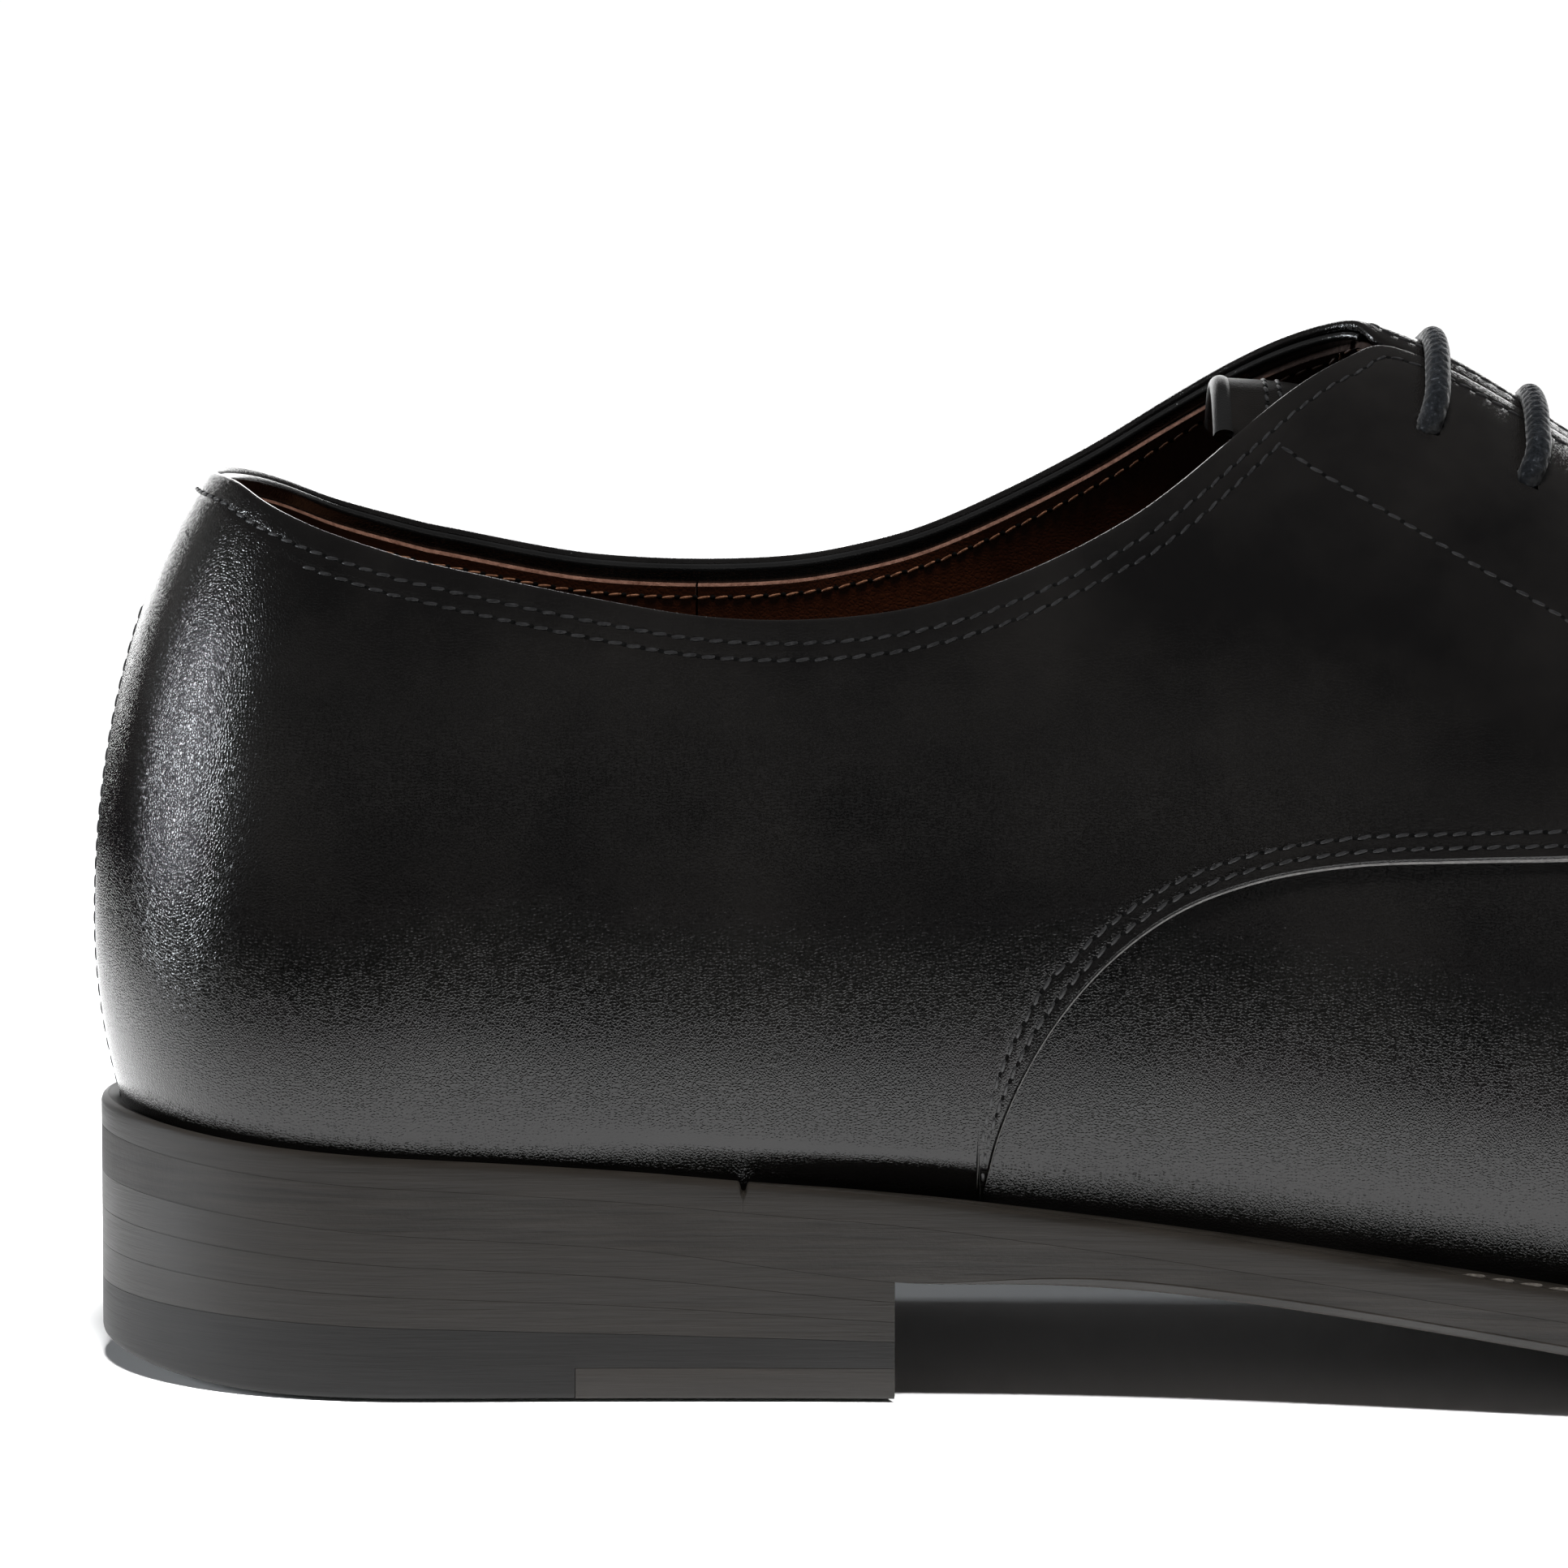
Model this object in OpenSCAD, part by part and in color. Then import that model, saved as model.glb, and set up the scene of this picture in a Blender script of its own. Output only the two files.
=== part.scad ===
// Leather lace-up shoe, right foot: welted sole, stacked heel, closed lacing.
// +X points to the toe, +Y to the medial side, +Z up. The origin is on the ground,
// under the middle of the shoe's box. Working coordinates start at the heel's rear.

/* [Sole] */
// Length of the sole from heel to toe
sole_len = 300; // [285:1:315]
// Half width of the heel seat
seat_half_w = 33; // [30:0.5:36]
// Thickness of the welt and of the heel rand
welt_t = 3; // [2.4:0.1:3.6]
// Distance from the heel's rear to the joint between rand and welt
welt_start = 67; // [60:0.5:74]
// Thickness of the insole board
insole_t = 2.6; // [2:0.1:3]
// Thickness of the cork layer
cork_t = 1.8; // [1.6:0.1:2]
// Thickness of the sock liner
sock_t = 1; // [0.6:0.1:1.4]

/* [Heel] */
// Distance from the heel's rear to its breast
breast_x = 82; // [78:1:86]
// Thickness of the rubber top lift at its rear
top_lift_t = 8.2; // [7:0.2:9]
// Thickness of the rubber top lift at the breast
top_lift_front_t = 5.9; // [5:0.1:6.4]
// Distance from the heel's rear to the leather insert in the top lift
insert_x = 50; // [44:1:56]
// Thickness of the leather insert
insert_t = 3.2; // [2:0.2:4]
// Number of leather lifts in the stack
lift_count = 3; // [2:1:4]

/* [Upper] */
// Thickness of the upper leather
leather_t = 1.1; // [0.9:0.05:1.3]
// Thickness of the stiffeners between upper and lining
stiff_t = 0.4; // [0.3:0.05:0.45]
// Thickness of the lining leather
lining_t = 0.8; // [0.6:0.05:0.9]
// Width of the slit between the two facings
slit_w = 1.8; // [1:0.1:3]
// Distance from the heel's rear to the throat
throat_x = 202; // [201:0.5:203]

/* [Lacing] */
// Diameter of the lace
lace_d = 2.6; // [2.2:0.1:2.8]
// Diameter of the punched eyelets
eyelet_d = 3.8; // [3.4:0.1:4]
// Distance from the heel's rear to the first eyelet
eyelet_first_x = 136.5; // [136:0.5:138]
// Spacing of the eyelets along the length
eyelet_pitch = 9.9; // [9.6:0.1:10.2]

/* [Hidden] */

LATERAL = -1;
MEDIAL = 1;
gap = 0.05;              // air between two layers that lie on each other
seat_x = seat_half_w;    // centre of the round heel seat
wide_lat = 198;          // where the round toe starts on the lateral side
wide_med = 214;          // where the round toe starts on the medial side
toe_y = 7;               // sideways place of the toe's tip
toe_ext = 6;             // welt in front of the upper at the toe
toe_p = 1.85;            // roundness of the toe, lengthwise
toe_q = 2;               // roundness of the toe, sideways
bulge_w = 0.2;           // share of a section that lies under its widest place
lap_w = 9;               // how far the vamp runs on under the quarter
lap_rise = 1.3;          // how far the quarter stands out where it laps the vamp
tip_x = sole_len - toe_ext - leather_t - 1.1;  // tip of the last surface at the feather line
tip_wall = 10;           // height of the upright wall at the toe's tip
round_x = 246;           // where the toe starts to round down
ring_fn = 8;             // sides of the lace

// Height of the welt's top along the shoe: [distance from the heel's rear, height]
welt_top = [[0, 27.2], [15, 25.6], [28, 24.7], [41, 24], [56, 23], [67, 22], [83, 20.7], [98, 19],
    [110, 17.6], [122, 16.1], [134, 14.6], [149, 12.7], [170, 10], [192, 7.9], [212, 7.3],
    [235, 8.4], [262, 11.4], [sole_len, 17.6]];
// Height of the sole's underside
sole_low = [[0, 19.4], [28, 17], [56, 15.2], [82, 12], [97, 11.8], [108, 11.3], [119, 10.2],
    [131, 8.7], [149, 6.2], [165, 3.8], [185, 1.2], [198, 0.1], [206, 0], [214, 0], [235, 1],
    [255, 3.2], [272, 5.8], [sole_len, 10.6]];
// Half width of the sole on each side
sole_lat = [[33, 33], [60, 32.5], [90, 33.4], [120, 37.6], [150, 44.2], [178, 50], [198, 51.6]];
sole_med = [[33, 33], [60, 31.4], [90, 27.6], [120, 26.6], [150, 31.8], [180, 42], [200, 47.8], [214, 49.4]];
// How far the sole stands out from the upper's outer face
ext_lat = [[33, 2], [64, 2.6], [88, 4.2], [110, 5.6], [150, 6.4], [205, 6]];
ext_med = [[33, 2], [64, 2.2], [88, 2.4], [120, 2.6], [150, 4.2], [205, 6]];
// Last surface: height of its widest place, height of its ridge, sideways place of the ridge
bulge_z = [[0, 45], [33, 43.5], [60, 42], [100, 38.5], [140, 32.5], [180, 27], [205, 25.5],
    [250, 24.5], [280, 26], [sole_len, 29]];
ridge_z = [[0, 105], [33, 104], [70, 103.5], [100, 105], [120, 106.2], [130, 106.2], [138, 103.4],
    [146, 98.7], [154, 93.3], [166, 85.8], [180, 78.3], [202, 68.6], [220, 61.4], [240, 54.7],
    [260, 49], [sole_len, 39.5]];
ridge_y = [[33, 0], [90, 0], [125, 1.5], [150, 2], [180, 3], [205, 4.2], [250, 6.4],
    [tip_x, toe_y]];
// Last surface: how much wider the widest place is than the feather line, and the roundness
bulge_lat = [[0, 0.108], [33, 0.105], [100, 0.1], [sole_len, 0.09]];
bulge_med = [[0, 0.108], [33, 0.105], [64, 0.12], [100, 0.2], [130, 0.26], [160, 0.2], [205, 0.1],
    [sole_len, 0.09]];
// Last surface: room at the feather line for the slope of the upper up to the welt's top
lean = [[0, 0.6], [100, 0.9], [180, 1.4], [sole_len, 1.4]];
round_n = [[0, 2], [60, 2], [100, 1.85], [130, 1.7], [165, 1.75], [202, 1.95], [240, 2.05],
    [sole_len, 2.05]];
// Topline of each quarter
top_lat = [[0, 91.2], [5, 90.7], [11, 88.9], [19.5, 86.7], [31, 84.2], [41, 82], [53.5, 79.5],
    [63, 78], [72.5, 77.6], [82, 78.3], [90, 80.1], [98.5, 83.3], [106.7, 87.5], [112, 91.2],
    [117.5, 95.6], [122.7, 99.5], [128, 102.5], [133, 103.9]];
top_med = [[0, 91.2], [5, 90.4], [11, 89], [20, 86.5], [36, 83.2], [48, 80.9], [56, 80.2],
    [64.5, 80.1], [72.5, 80.6], [79, 81.8], [86, 83.8], [95, 87.9], [104, 92.8], [111, 97.3],
    [117.5, 101.3], [123, 104.1], [128, 105.7], [133, 106.2]];
facing_top_x = 131;      // where the topline turns into the facing edge
// Edge of the quarter on the vamp
seam = [[91, 17.5], [91.8, 24.4], [94.4, 31.6], [99.5, 39.9], [105, 45.6], [111, 49.7], [119, 52.7],
    [128, 54.3], [140, 54.9], [153, 55.3], [167, 57.2], [182, 61], [194, 65.4], [202, 68.6]];
seam_x0 = 91;

/* ---- curves ---- */

function slope(t, i) =
    i == 0 ? (t[1][1] - t[0][1]) / (t[1][0] - t[0][0]) :
    i == len(t) - 1 ? (t[i][1] - t[i - 1][1]) / (t[i][0] - t[i - 1][0]) :
    (t[i + 1][1] - t[i - 1][1]) / (t[i + 1][0] - t[i - 1][0]);
function span(t, x, i = 0) = i >= len(t) - 2 || x < t[i + 1][0] ? i : span(t, x, i + 1);
function hermite(a, b, h, ma, mb, u) =
    (2 * u ^ 3 - 3 * u ^ 2 + 1) * a + (u ^ 3 - 2 * u ^ 2 + u) * h * ma
    + (3 * u ^ 2 - 2 * u ^ 3) * b + (u ^ 3 - u ^ 2) * h * mb;
// Smooth value of a table at x. flat sets the first and the last slope to zero.
function curve(t, x, flat = false) =
    let (c = min(max(x, t[0][0]), t[len(t) - 1][0]), i = span(t, c), h = t[i + 1][0] - t[i][0])
    hermite(t[i][1], t[i + 1][1], h, flat && i == 0 ? 0 : slope(t, i),
        flat && i == len(t) - 2 ? 0 : slope(t, i + 1), (c - t[i][0]) / h);
function mix(a, b, u) = a + (b - a) * u;
function ramp(a, b, x) = let (u = min(max((x - a) / (b - a), 0), 1)) u * u * (3 - 2 * u);
function steps(a, b, n) = [for (i = [0 : n]) mix(a, b, i / n)];
function rev(v) = [for (i = [len(v) - 1 : -1 : 0]) v[i]];

/* ---- plan outlines ---- */

// Half width at x, taken in by inset, with the toe's tip at end_x
function plan_y(side, x, inset, end_x) =
    let (t = side < 0 ? sole_lat : sole_med, wide = side < 0 ? wide_lat : wide_med)
    x <= wide ? side * (curve(t, x, true) - inset) :
    let (w = side * (curve(t, wide) - inset) - toe_y, u = min((x - wide) / (end_x - wide), 1))
    toe_y + w * (1 - u ^ toe_p) ^ (1 / toe_q);
function ext_at(side, x) = curve(side < 0 ? ext_lat : ext_med, x);
// Stations from the seat's middle to the toe, closer together near the tip
function plan_xs(end_x, n) = concat(steps(seat_x, wide_lat, n),
    [for (i = [1 : n]) mix(wide_lat, end_x, sin(90 * i / n))]);
// One side's points from the heel's rear to the toe. use_ext follows the upper, not the sole.
function plan_side(side, inset, use_ext, n) =
    let (e0 = use_ext ? ext_at(side, seat_x) : 0, end_x = sole_len - inset - (use_ext ? toe_ext : 0))
    concat(
        [for (a = [0 : 90 / n : 89.9]) [seat_x - (seat_half_w - inset - e0) * cos(a),
            side * (seat_half_w - inset - e0) * sin(a)]],
        [for (x = plan_xs(end_x, n)) [x, plan_y(side, x, inset + (use_ext ? ext_at(side, x) : 0), end_x)]]);
function plan(inset, use_ext, n = 12) =
    let (a = plan_side(LATERAL, inset, use_ext, n), b = plan_side(MEDIAL, inset, use_ext, n))
    concat(a, [for (i = [len(b) - 2 : -1 : 1]) b[i]]);

/* ---- heights of the sole's layers ---- */

function welt_z(x) = curve(welt_top, x);
function rib_z(x) = welt_z(x) - welt_t;            // top of the outsole
function low_z(x) = max(0, curve(sole_low, x));    // underside of the outsole
// Stations shared by all layers, so that they lie on each other without an overlap
level_step = 5;
function level_xs(a, b) = concat([a],
    [for (x = [ceil((a + 0.01) / level_step) * level_step : level_step : b - 0.01]) x], [b]);

// The upper's back stands out behind the heel by this much
back_out = 0.5;
module place() translate([(back_out - sole_len) / 2, (sole_lat[len(sole_lat) - 1][1]
    - sole_med[len(sole_med) - 1][1]) / 2, 0]) children();

// A layer between two heights, lower[] and upper[] being [x, z] lists from rear to front
module layer(outline, lower, upper) {
    intersection() {
        linear_extrude(height = 60) polygon(outline);
        rotate([90, 0, 0]) linear_extrude(height = 160, center = true)
            polygon(concat(lower, rev(upper)));
    }
}

/* ---- the last surface ---- */

// A station q is an angle in degrees below zero, fanned round the heel from -90 at its
// back to 0 at its side, and above zero it is the distance in front of the seat's middle.
function col(side, q) =
    let (
        fan = q < 0, a = q + 90,
        x = fan ? seat_x - seat_half_w * cos(a) : seat_x + q,
        skin = leather_t + 0.1 + curve(lean, x),
        rf = fan ? seat_half_w - ext_at(side, seat_x) - skin :
            abs(plan_y(side, x, ext_at(side, x) + skin, tip_x) - curve(ridge_y, x, true)),
        rb = rf * (1 + curve(side < 0 ? bulge_lat : bulge_med, x)),
        zf = rib_z(x) + 0.8,
        tip = ramp(wide_lat + 55, tip_x + 8, x),
        u = max(0, (x - round_x) / (tip_x - round_x)),
        zt = curve(ridge_z, x) - (curve(ridge_z, tip_x) - welt_z(tip_x) - tip_wall)
            * (1 - sqrt(max(0, 1 - u * u)))
    )
    [fan ? [seat_x, 0] : [x, curve(ridge_y, x, true)],
        fan ? [-cos(a), side * sin(a)] : [0, side],
        rf, rb, zf, min(curve(bulge_z, x), zt - 2), zt, curve(round_n, x), 2.4 * tip];
function at(c, w) =
    let (
        low = w < bulge_w, k = 1 - w / bulge_w, f = 90 * (w - bulge_w) / (1 - bulge_w),
        r = low ? c[3] - (c[3] - c[2]) * k * k : c[3] * sign(cos(f)) * abs(cos(f)) ^ (2 / c[7]),
        z = low ? c[5] - (c[5] - c[4]) * k : c[5] + (c[6] - c[5]) * sin(f),
        push = c[8] * (low ? 1 - k * k : cos(f) ^ 2)
    )
    [c[0][0] + c[1][0] * r + push, c[0][1] + c[1][1] * r, z];
// Share of the section at height z
function share(c, z) =
    z < c[5] ? bulge_w * (z - c[4]) / (c[5] - c[4]) :
    bulge_w + (1 - bulge_w) * asin(min(1, (z - c[5]) / (c[6] - c[5]))) / 90;
function unit(v) = v / norm(v);
// Points of one column, moved out by d[i] at w[i]
function offset_col(side, q, ws, ds) =
    let (dq = 0.4, dw = 0.004, q1 = q < 0 ? min(q + dq, 0) : min(q + dq, tip_x - seat_x),
        q0 = q == 0 ? 0 : q < 0 ? max(q - dq, -90) : max(q - dq, 0),
        c = col(side, q), ca = col(side, q0), cb = col(side, q1))
    [for (i = [0 : len(ws) - 1])
        let (w = ws[i], ridge = abs(w - 1) < 0.0001, w1 = w + (ridge ? 0 : dw), w0 = max(w - dw, 0),
            tq = at(cb, w) - at(ca, w), tw = at(c, w1) - at(c, w0),
            raw = side * cross(tw, tq),
            n = q >= tip_x - seat_x - 0.01 ? [1, 0, 0] : unit(ridge ? [-tq.z, 0, tq.x] : raw))
        at(c, w) + n * ds[i]];

/* ---- shells on the last surface ---- */

// A closed solid between two grids of points, n columns of m points each. closed[i] says that
// column i's upper end meets its mirror image on the ridge, so it gets no rim there.
module skin(outer, inner, n, m, closed = [], flip = false) {
    function quad(a, b, c, d) = flip ? [[a, c, b], [a, d, c]] : [[a, b, c], [a, c, d]];
    function id(i, j) = i * m + j;
    function in(i, j) = n * m + i * m + j;
    front = [for (i = [0 : n - 2], j = [0 : m - 2])
        each quad(id(i, j), id(i + 1, j), id(i + 1, j + 1), id(i, j + 1))];
    back = [for (i = [0 : n - 2], j = [0 : m - 2])
        each quad(in(i, j), in(i, j + 1), in(i + 1, j + 1), in(i + 1, j))];
    low = [for (i = [0 : n - 2]) each quad(id(i, 0), in(i, 0), in(i + 1, 0), id(i + 1, 0))];
    high = [for (i = [0 : n - 2]) if (len(closed) == 0 || !(closed[i] && closed[i + 1]))
        each quad(id(i, m - 1), id(i + 1, m - 1), in(i + 1, m - 1), in(i, m - 1))];
    first = [for (j = [0 : m - 2]) each quad(id(0, j), id(0, j + 1), in(0, j + 1), in(0, j))];
    last = [for (j = [0 : m - 2]) each quad(id(n - 1, j), in(n - 1, j), in(n - 1, j + 1), id(n - 1, j + 1))];
    polyhedron(points = concat(outer, inner), faces = concat(front, back, low, high, first, last),
        convexity = 8);
}
// A shell on the last surface. Each column is [side, q, lowest share, highest share], and each
// point stands out by d_out and d_in, plus the lap over the vamp where lapped is set.
module shell(cols, m, d_out, d_in, flip = false, lapped = false) {
    grids = [for (c = cols)
        let (k = col(c[0], c[1]), ws = steps(c[2], c[3], m - 1),
            rise = [for (w = ws) lapped ? lap(c[1] + seat_x, at(k, w).z) : 0])
        [offset_col(c[0], c[1], ws, [for (r = rise) d_out + r]),
            offset_col(c[0], c[1], ws, [for (r = rise) d_in + r])]];
    skin([for (g = grids) each g[0]], [for (g = grids) each g[1]], len(cols), m,
        [for (c = cols) abs(c[3] - 1) < 0.0001], flip);
}

/* ---- edges of the upper's pieces, as shares of a section ---- */

binding_h = 0.9;         // height of the bound edge on the topline
out_1 = gap + leather_t;             // outer face of the upper leather
in_1 = -0.2;                         // outer face of the stiffeners
in_2 = in_1 - stiff_t;               // inner face of the stiffeners
in_3 = in_2 - 0.2;                   // outer face of the lining
in_4 = in_3 - lining_t;              // inner face of the lining
seam_pts = [for (x = steps(seam_x0, throat_x, 30)) [x, curve(seam, x)]];
function seam_dist(x, z) = min([for (p = seam_pts) norm([x, z] - p)]);
// It stands out less near the welt, where the vamp doesn't run on under it
foot_z = 4.5;
function lap(x, z) = lap_rise * (1 - ramp(lap_w, lap_w + 6, seam_dist(x, z)))
    * ramp(1, foot_z, z - welt_z(x));
function q_x(side, q) = q < 0 ? seat_x - seat_half_w * cos(q + 90) : seat_x + q;
function top_z(side, x) = curve(side < 0 ? top_lat : top_med, x);
function w_z(side, q, z) = share(col(side, q), z);
// Share at distance r from the ridge; past the ridge, on the other side, r is negative
function w_r(side, q, r) = let (c = col(side, q), a = acos(min(1, (abs(r) / c[3]) ^ (c[7] / 2))))
    bulge_w + (1 - bulge_w) * (r < 0 ? 180 - a : a) / 90;
// The slit between the facings lies on the lateral side of the ridge
slit_r = 4.6;
function facing_r(side) = (side < 0 ? slit_r : -slit_r) + slit_w / 2;
function w_top(side, q, drop = 0) = let (x = q_x(side, q), edge = w_r(side, q, facing_r(side) + drop))
    x < facing_top_x ? min(w_z(side, q, top_z(side, x) - binding_h - drop), edge) : edge;
function w_seam(side, q, shift = 0) = let (x = q_x(side, q))
    x <= seam_x0 ? 0 : max(0, w_z(side, q, curve(seam, x) + shift));

fan_qs = steps(-90, 0, 9);
function x_qs(a, b, n) = [for (x = steps(a, b, n)) x - seat_x];
// Stations towards the toe's tip, closer together at the end
function toe_qs(a, n) = [for (i = [1 : n]) mix(a, tip_x, sin(90 * i / n)) - seat_x];
function both(qs, lo, hi) = concat([for (q = qs) [LATERAL, q, lo(LATERAL, q), hi(LATERAL, q)]],
    [for (i = [len(qs) - 2 : -1 : 0]) let (q = qs[i]) [MEDIAL, q, lo(MEDIAL, q), hi(MEDIAL, q)]]);

/* ---- sole ---- */

module layer_between(inset, use_ext, lo, hi, a, b) {
    xs = level_xs(a, b);
    layer(plan(inset, use_ext), [for (x = xs) [x, lo(x)]], [for (x = xs) [x, hi(x)]]);
}
module outsole() color([0.12, 0.1, 0.09]) place()
    layer_between(0, false, function(x) low_z(x), function(x) rib_z(x), -1, sole_len + 1);
// The ring of welt and rand, open where the upper stands in it
module ring(a, b) {
    difference() {
        layer_between(0, false, function(x) rib_z(x) + gap, function(x) welt_z(x), a, b);
        linear_extrude(height = 60) polygon(plan(0, true));
    }
}
module welt() color([0.14, 0.12, 0.11]) place() ring(welt_start, sole_len + 1);
module heel_rand() color([0.12, 0.1, 0.09]) place() ring(-1, welt_start - gap);

bed = leather_t + 0.1 + 1.4 - in_4 + 0.4;   // inset of the insole from the welt's inner edge
bed_x0 = 2;
module bed_layer(lo, hi, a = bed_x0, b = sole_len, inset = bed)
    layer_between(inset, true, function(x) rib_z(x) + lo, function(x) rib_z(x) + hi, a, b);
shank_w = 14;
shank_x0 = 46;
shank_x1 = 152;
module shank_plan(grow) translate([0, -1.5, 0]) hull_free_bar(shank_x0 - grow, shank_x1 + grow, shank_w + 2 * grow);
module hull_free_bar(a, b, w) {
    translate([a + w / 2, -w / 2]) square([b - a - w, w]);
    translate([a + w / 2, 0]) circle(d = w, $fn = 32);
    translate([b - w / 2, 0]) circle(d = w, $fn = 32);
}
module cork_filler() color([0.6, 0.42, 0.26]) place() difference() {
    bed_layer(gap, cork_t);
    linear_extrude(height = 60) shank_plan(0.3);
}
module shank() color([0.6, 0.61, 0.62]) place() intersection() {
    bed_layer(gap + 0.2, cork_t - 0.2);
    linear_extrude(height = 60) shank_plan(0);
}
module insole() color([0.62, 0.47, 0.33]) place() bed_layer(cork_t + gap, cork_t + insole_t);
sock_x1 = 118;
module sock_liner() color([0.3, 0.16, 0.1]) place()
    bed_layer(cork_t + insole_t + gap, cork_t + insole_t + sock_t, bed_x0, sock_x1, bed + 0.5);

/* ---- heel ---- */

breast_r = 110;          // radius of the hollow breast
module heel_block(lo, hi) difference() {
    layer_between(0, false, lo, hi, -1, breast_x + 6);
    translate([breast_x + breast_r - 4, 0, -1]) cylinder(r = breast_r, h = 60, $fn = 96);
}
bevel_x = 22;            // how far the worn-in bevel at the heel's rear reaches
bevel_z = 2.4;           // how high it rises
function tread_z(x) = x < bevel_x ? bevel_z * (1 - max(0, x) / bevel_x) ^ 2 : 0;
function top_lift_z(x) = mix(top_lift_t, top_lift_front_t, max(0, x) / breast_x);
function lift_z(x, k) = mix(top_lift_z(x), low_z(x), k / lift_count);
module heel_lift(k) color([0.13, 0.11, 0.1]) place()
    heel_block(function(x) lift_z(x, k - 1) + gap, function(x) lift_z(x, k) - (k == lift_count ? gap : 0));
module insert_box(grow) translate([insert_x - grow, -60, -1])
    cube([breast_x, 120, insert_t + grow + 1]);
module heel_top_lift() color([0.08, 0.08, 0.08]) place() difference() {
    heel_block(function(x) tread_z(x), function(x) top_lift_z(x));
    insert_box(gap);
    nail_holes(0.1);
}
module heel_insert() color([0.16, 0.14, 0.12]) place() intersection() {
    heel_block(function(x) 0, function(x) top_lift_z(x));
    insert_box(0);
}
nail_d = 1.8;
nail_len = 2.6;
nail_xs = [25, 31, 38, 45];
module nails(grow, z0) for (x = nail_xs, s = [LATERAL, MEDIAL])
    translate([x, s * (x < seat_x ? sqrt(seat_half_w ^ 2 - (seat_x - x) ^ 2) - 7 : seat_half_w - 7), z0])
        cylinder(d = nail_d + 2 * grow, h = nail_len + 2 * grow, $fn = 24);
module nail_holes(grow) nails(grow, -grow);
module heel_nails() color([0.7, 0.68, 0.62]) place() nails(0, 0.02);

/* ---- upper ---- */

under_x0 = seam_x0 - lap_w + 1;
// How far the vamp runs on under the quarter: less near the throat, clear of the last eyelet
function under(x) = mix(lap_w - 1, 2, ramp(150, 184, x));
function w_under(side, q) = let (x = q_x(side, q))
    x >= throat_x ? 1 : w_z(side, q, curve(seam, x + under(x)) + under(x) - 1);
function w_foot(side, q) = let (x = q_x(side, q)) x <= seam_x0 ? w_z(side, q, welt_z(x) + foot_z) : 0;
// Stations that all pieces in front of the seam share, so that they lie on each other
seam_xs = concat([seam_x0 + 0.7, seam_x0 + 3, seam_x0 + 6, seam_x0 + 10], steps(106, throat_x - 1, 13));
front_qs = [for (x = seam_xs) x - seat_x];
vamp_qs = concat(x_qs(under_x0, seam_x0, 2), [seam_x0 + 0.05 - seat_x], front_qs, [throat_x - seat_x],
    toe_qs(throat_x + 2, 12));
rows = 13;
module vamp() color([0.05, 0.05, 0.055]) place()
    shell(both(vamp_qs, function(s, q) w_foot(s, q), function(s, q) w_under(s, q)), rows, out_1, gap, true);

quarter_qs = concat(fan_qs, x_qs(seat_x + 8, seam_x0, 7), front_qs);
module eyelet_bores(side) for (k = [0 : eyelet_count - 1]) let (e = eyelet(side, k))
    translate(e[0]) rotate([0, acos(e[1].z), atan2(e[1].y, e[1].x)])
        cylinder(d = eyelet_d, h = 14, center = true, $fn = 24);
module quarter(side) difference() {
    shell([for (q = quarter_qs) [side, max(q, -89.9), w_seam(side, q), w_top(side, q)]], 14,
        out_1, gap, side == LATERAL, true);
    eyelet_bores(side);
}
module quarter_lateral() color([0.05, 0.05, 0.055]) place() quarter(LATERAL);
module quarter_medial() color([0.05, 0.05, 0.055]) place() quarter(MEDIAL);

stay_w = 0.26;
stay_x1 = 182;           // front end of the stay
module facing_stay(side) difference() {
    shell([for (q = front_qs) let (x = q + seat_x) if (x > facing_top_x + 2 && x < stay_x1)
        [side, q, max(w_top(side, q) - stay_w, w_under(side, q) + 0.03), w_top(side, q) - 0.01]], 5,
        in_1, in_2, side == LATERAL);
    eyelet_bores(side);
}
module facing_stay_lateral() color([0.2, 0.2, 0.2]) place() facing_stay(LATERAL);
module facing_stay_medial() color([0.2, 0.2, 0.2]) place() facing_stay(MEDIAL);

lining_x = 110;          // where the vamp lining starts
grip_x = 62;             // where the heel grip ends
lining_qs = concat([lining_x + 0.3 - seat_x], [for (q = front_qs) if (q > lining_x + 2 - seat_x) q],
    [throat_x - seat_x], toe_qs(throat_x + 2, 12));
module vamp_lining() color([0.36, 0.2, 0.13]) place()
    shell(both(lining_qs, function(s, q) 0,
        function(s, q) q_x(s, q) >= throat_x ? 1 : w_seam(s, q, -0.4)), rows, in_3, in_4, true);
module quarter_lining(side) difference() {
    shell([for (q = concat(x_qs(grip_x + 0.3, lining_x, 6), [lining_x + 0.3 - seat_x],
        [for (q = front_qs) if (q > lining_x + 2 - seat_x && q < throat_x - 8 - seat_x) q]))
        [side, q, q_x(side, q) <= lining_x ? 0 : w_seam(side, q, 0.2), w_top(side, q, 0.4)]], 8,
        in_3, in_4, side == LATERAL);
    eyelet_bores(side);
}
module quarter_lining_lateral() color([0.33, 0.16, 0.1]) place() quarter_lining(LATERAL);
module quarter_lining_medial() color([0.33, 0.16, 0.1]) place() quarter_lining(MEDIAL);

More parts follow.
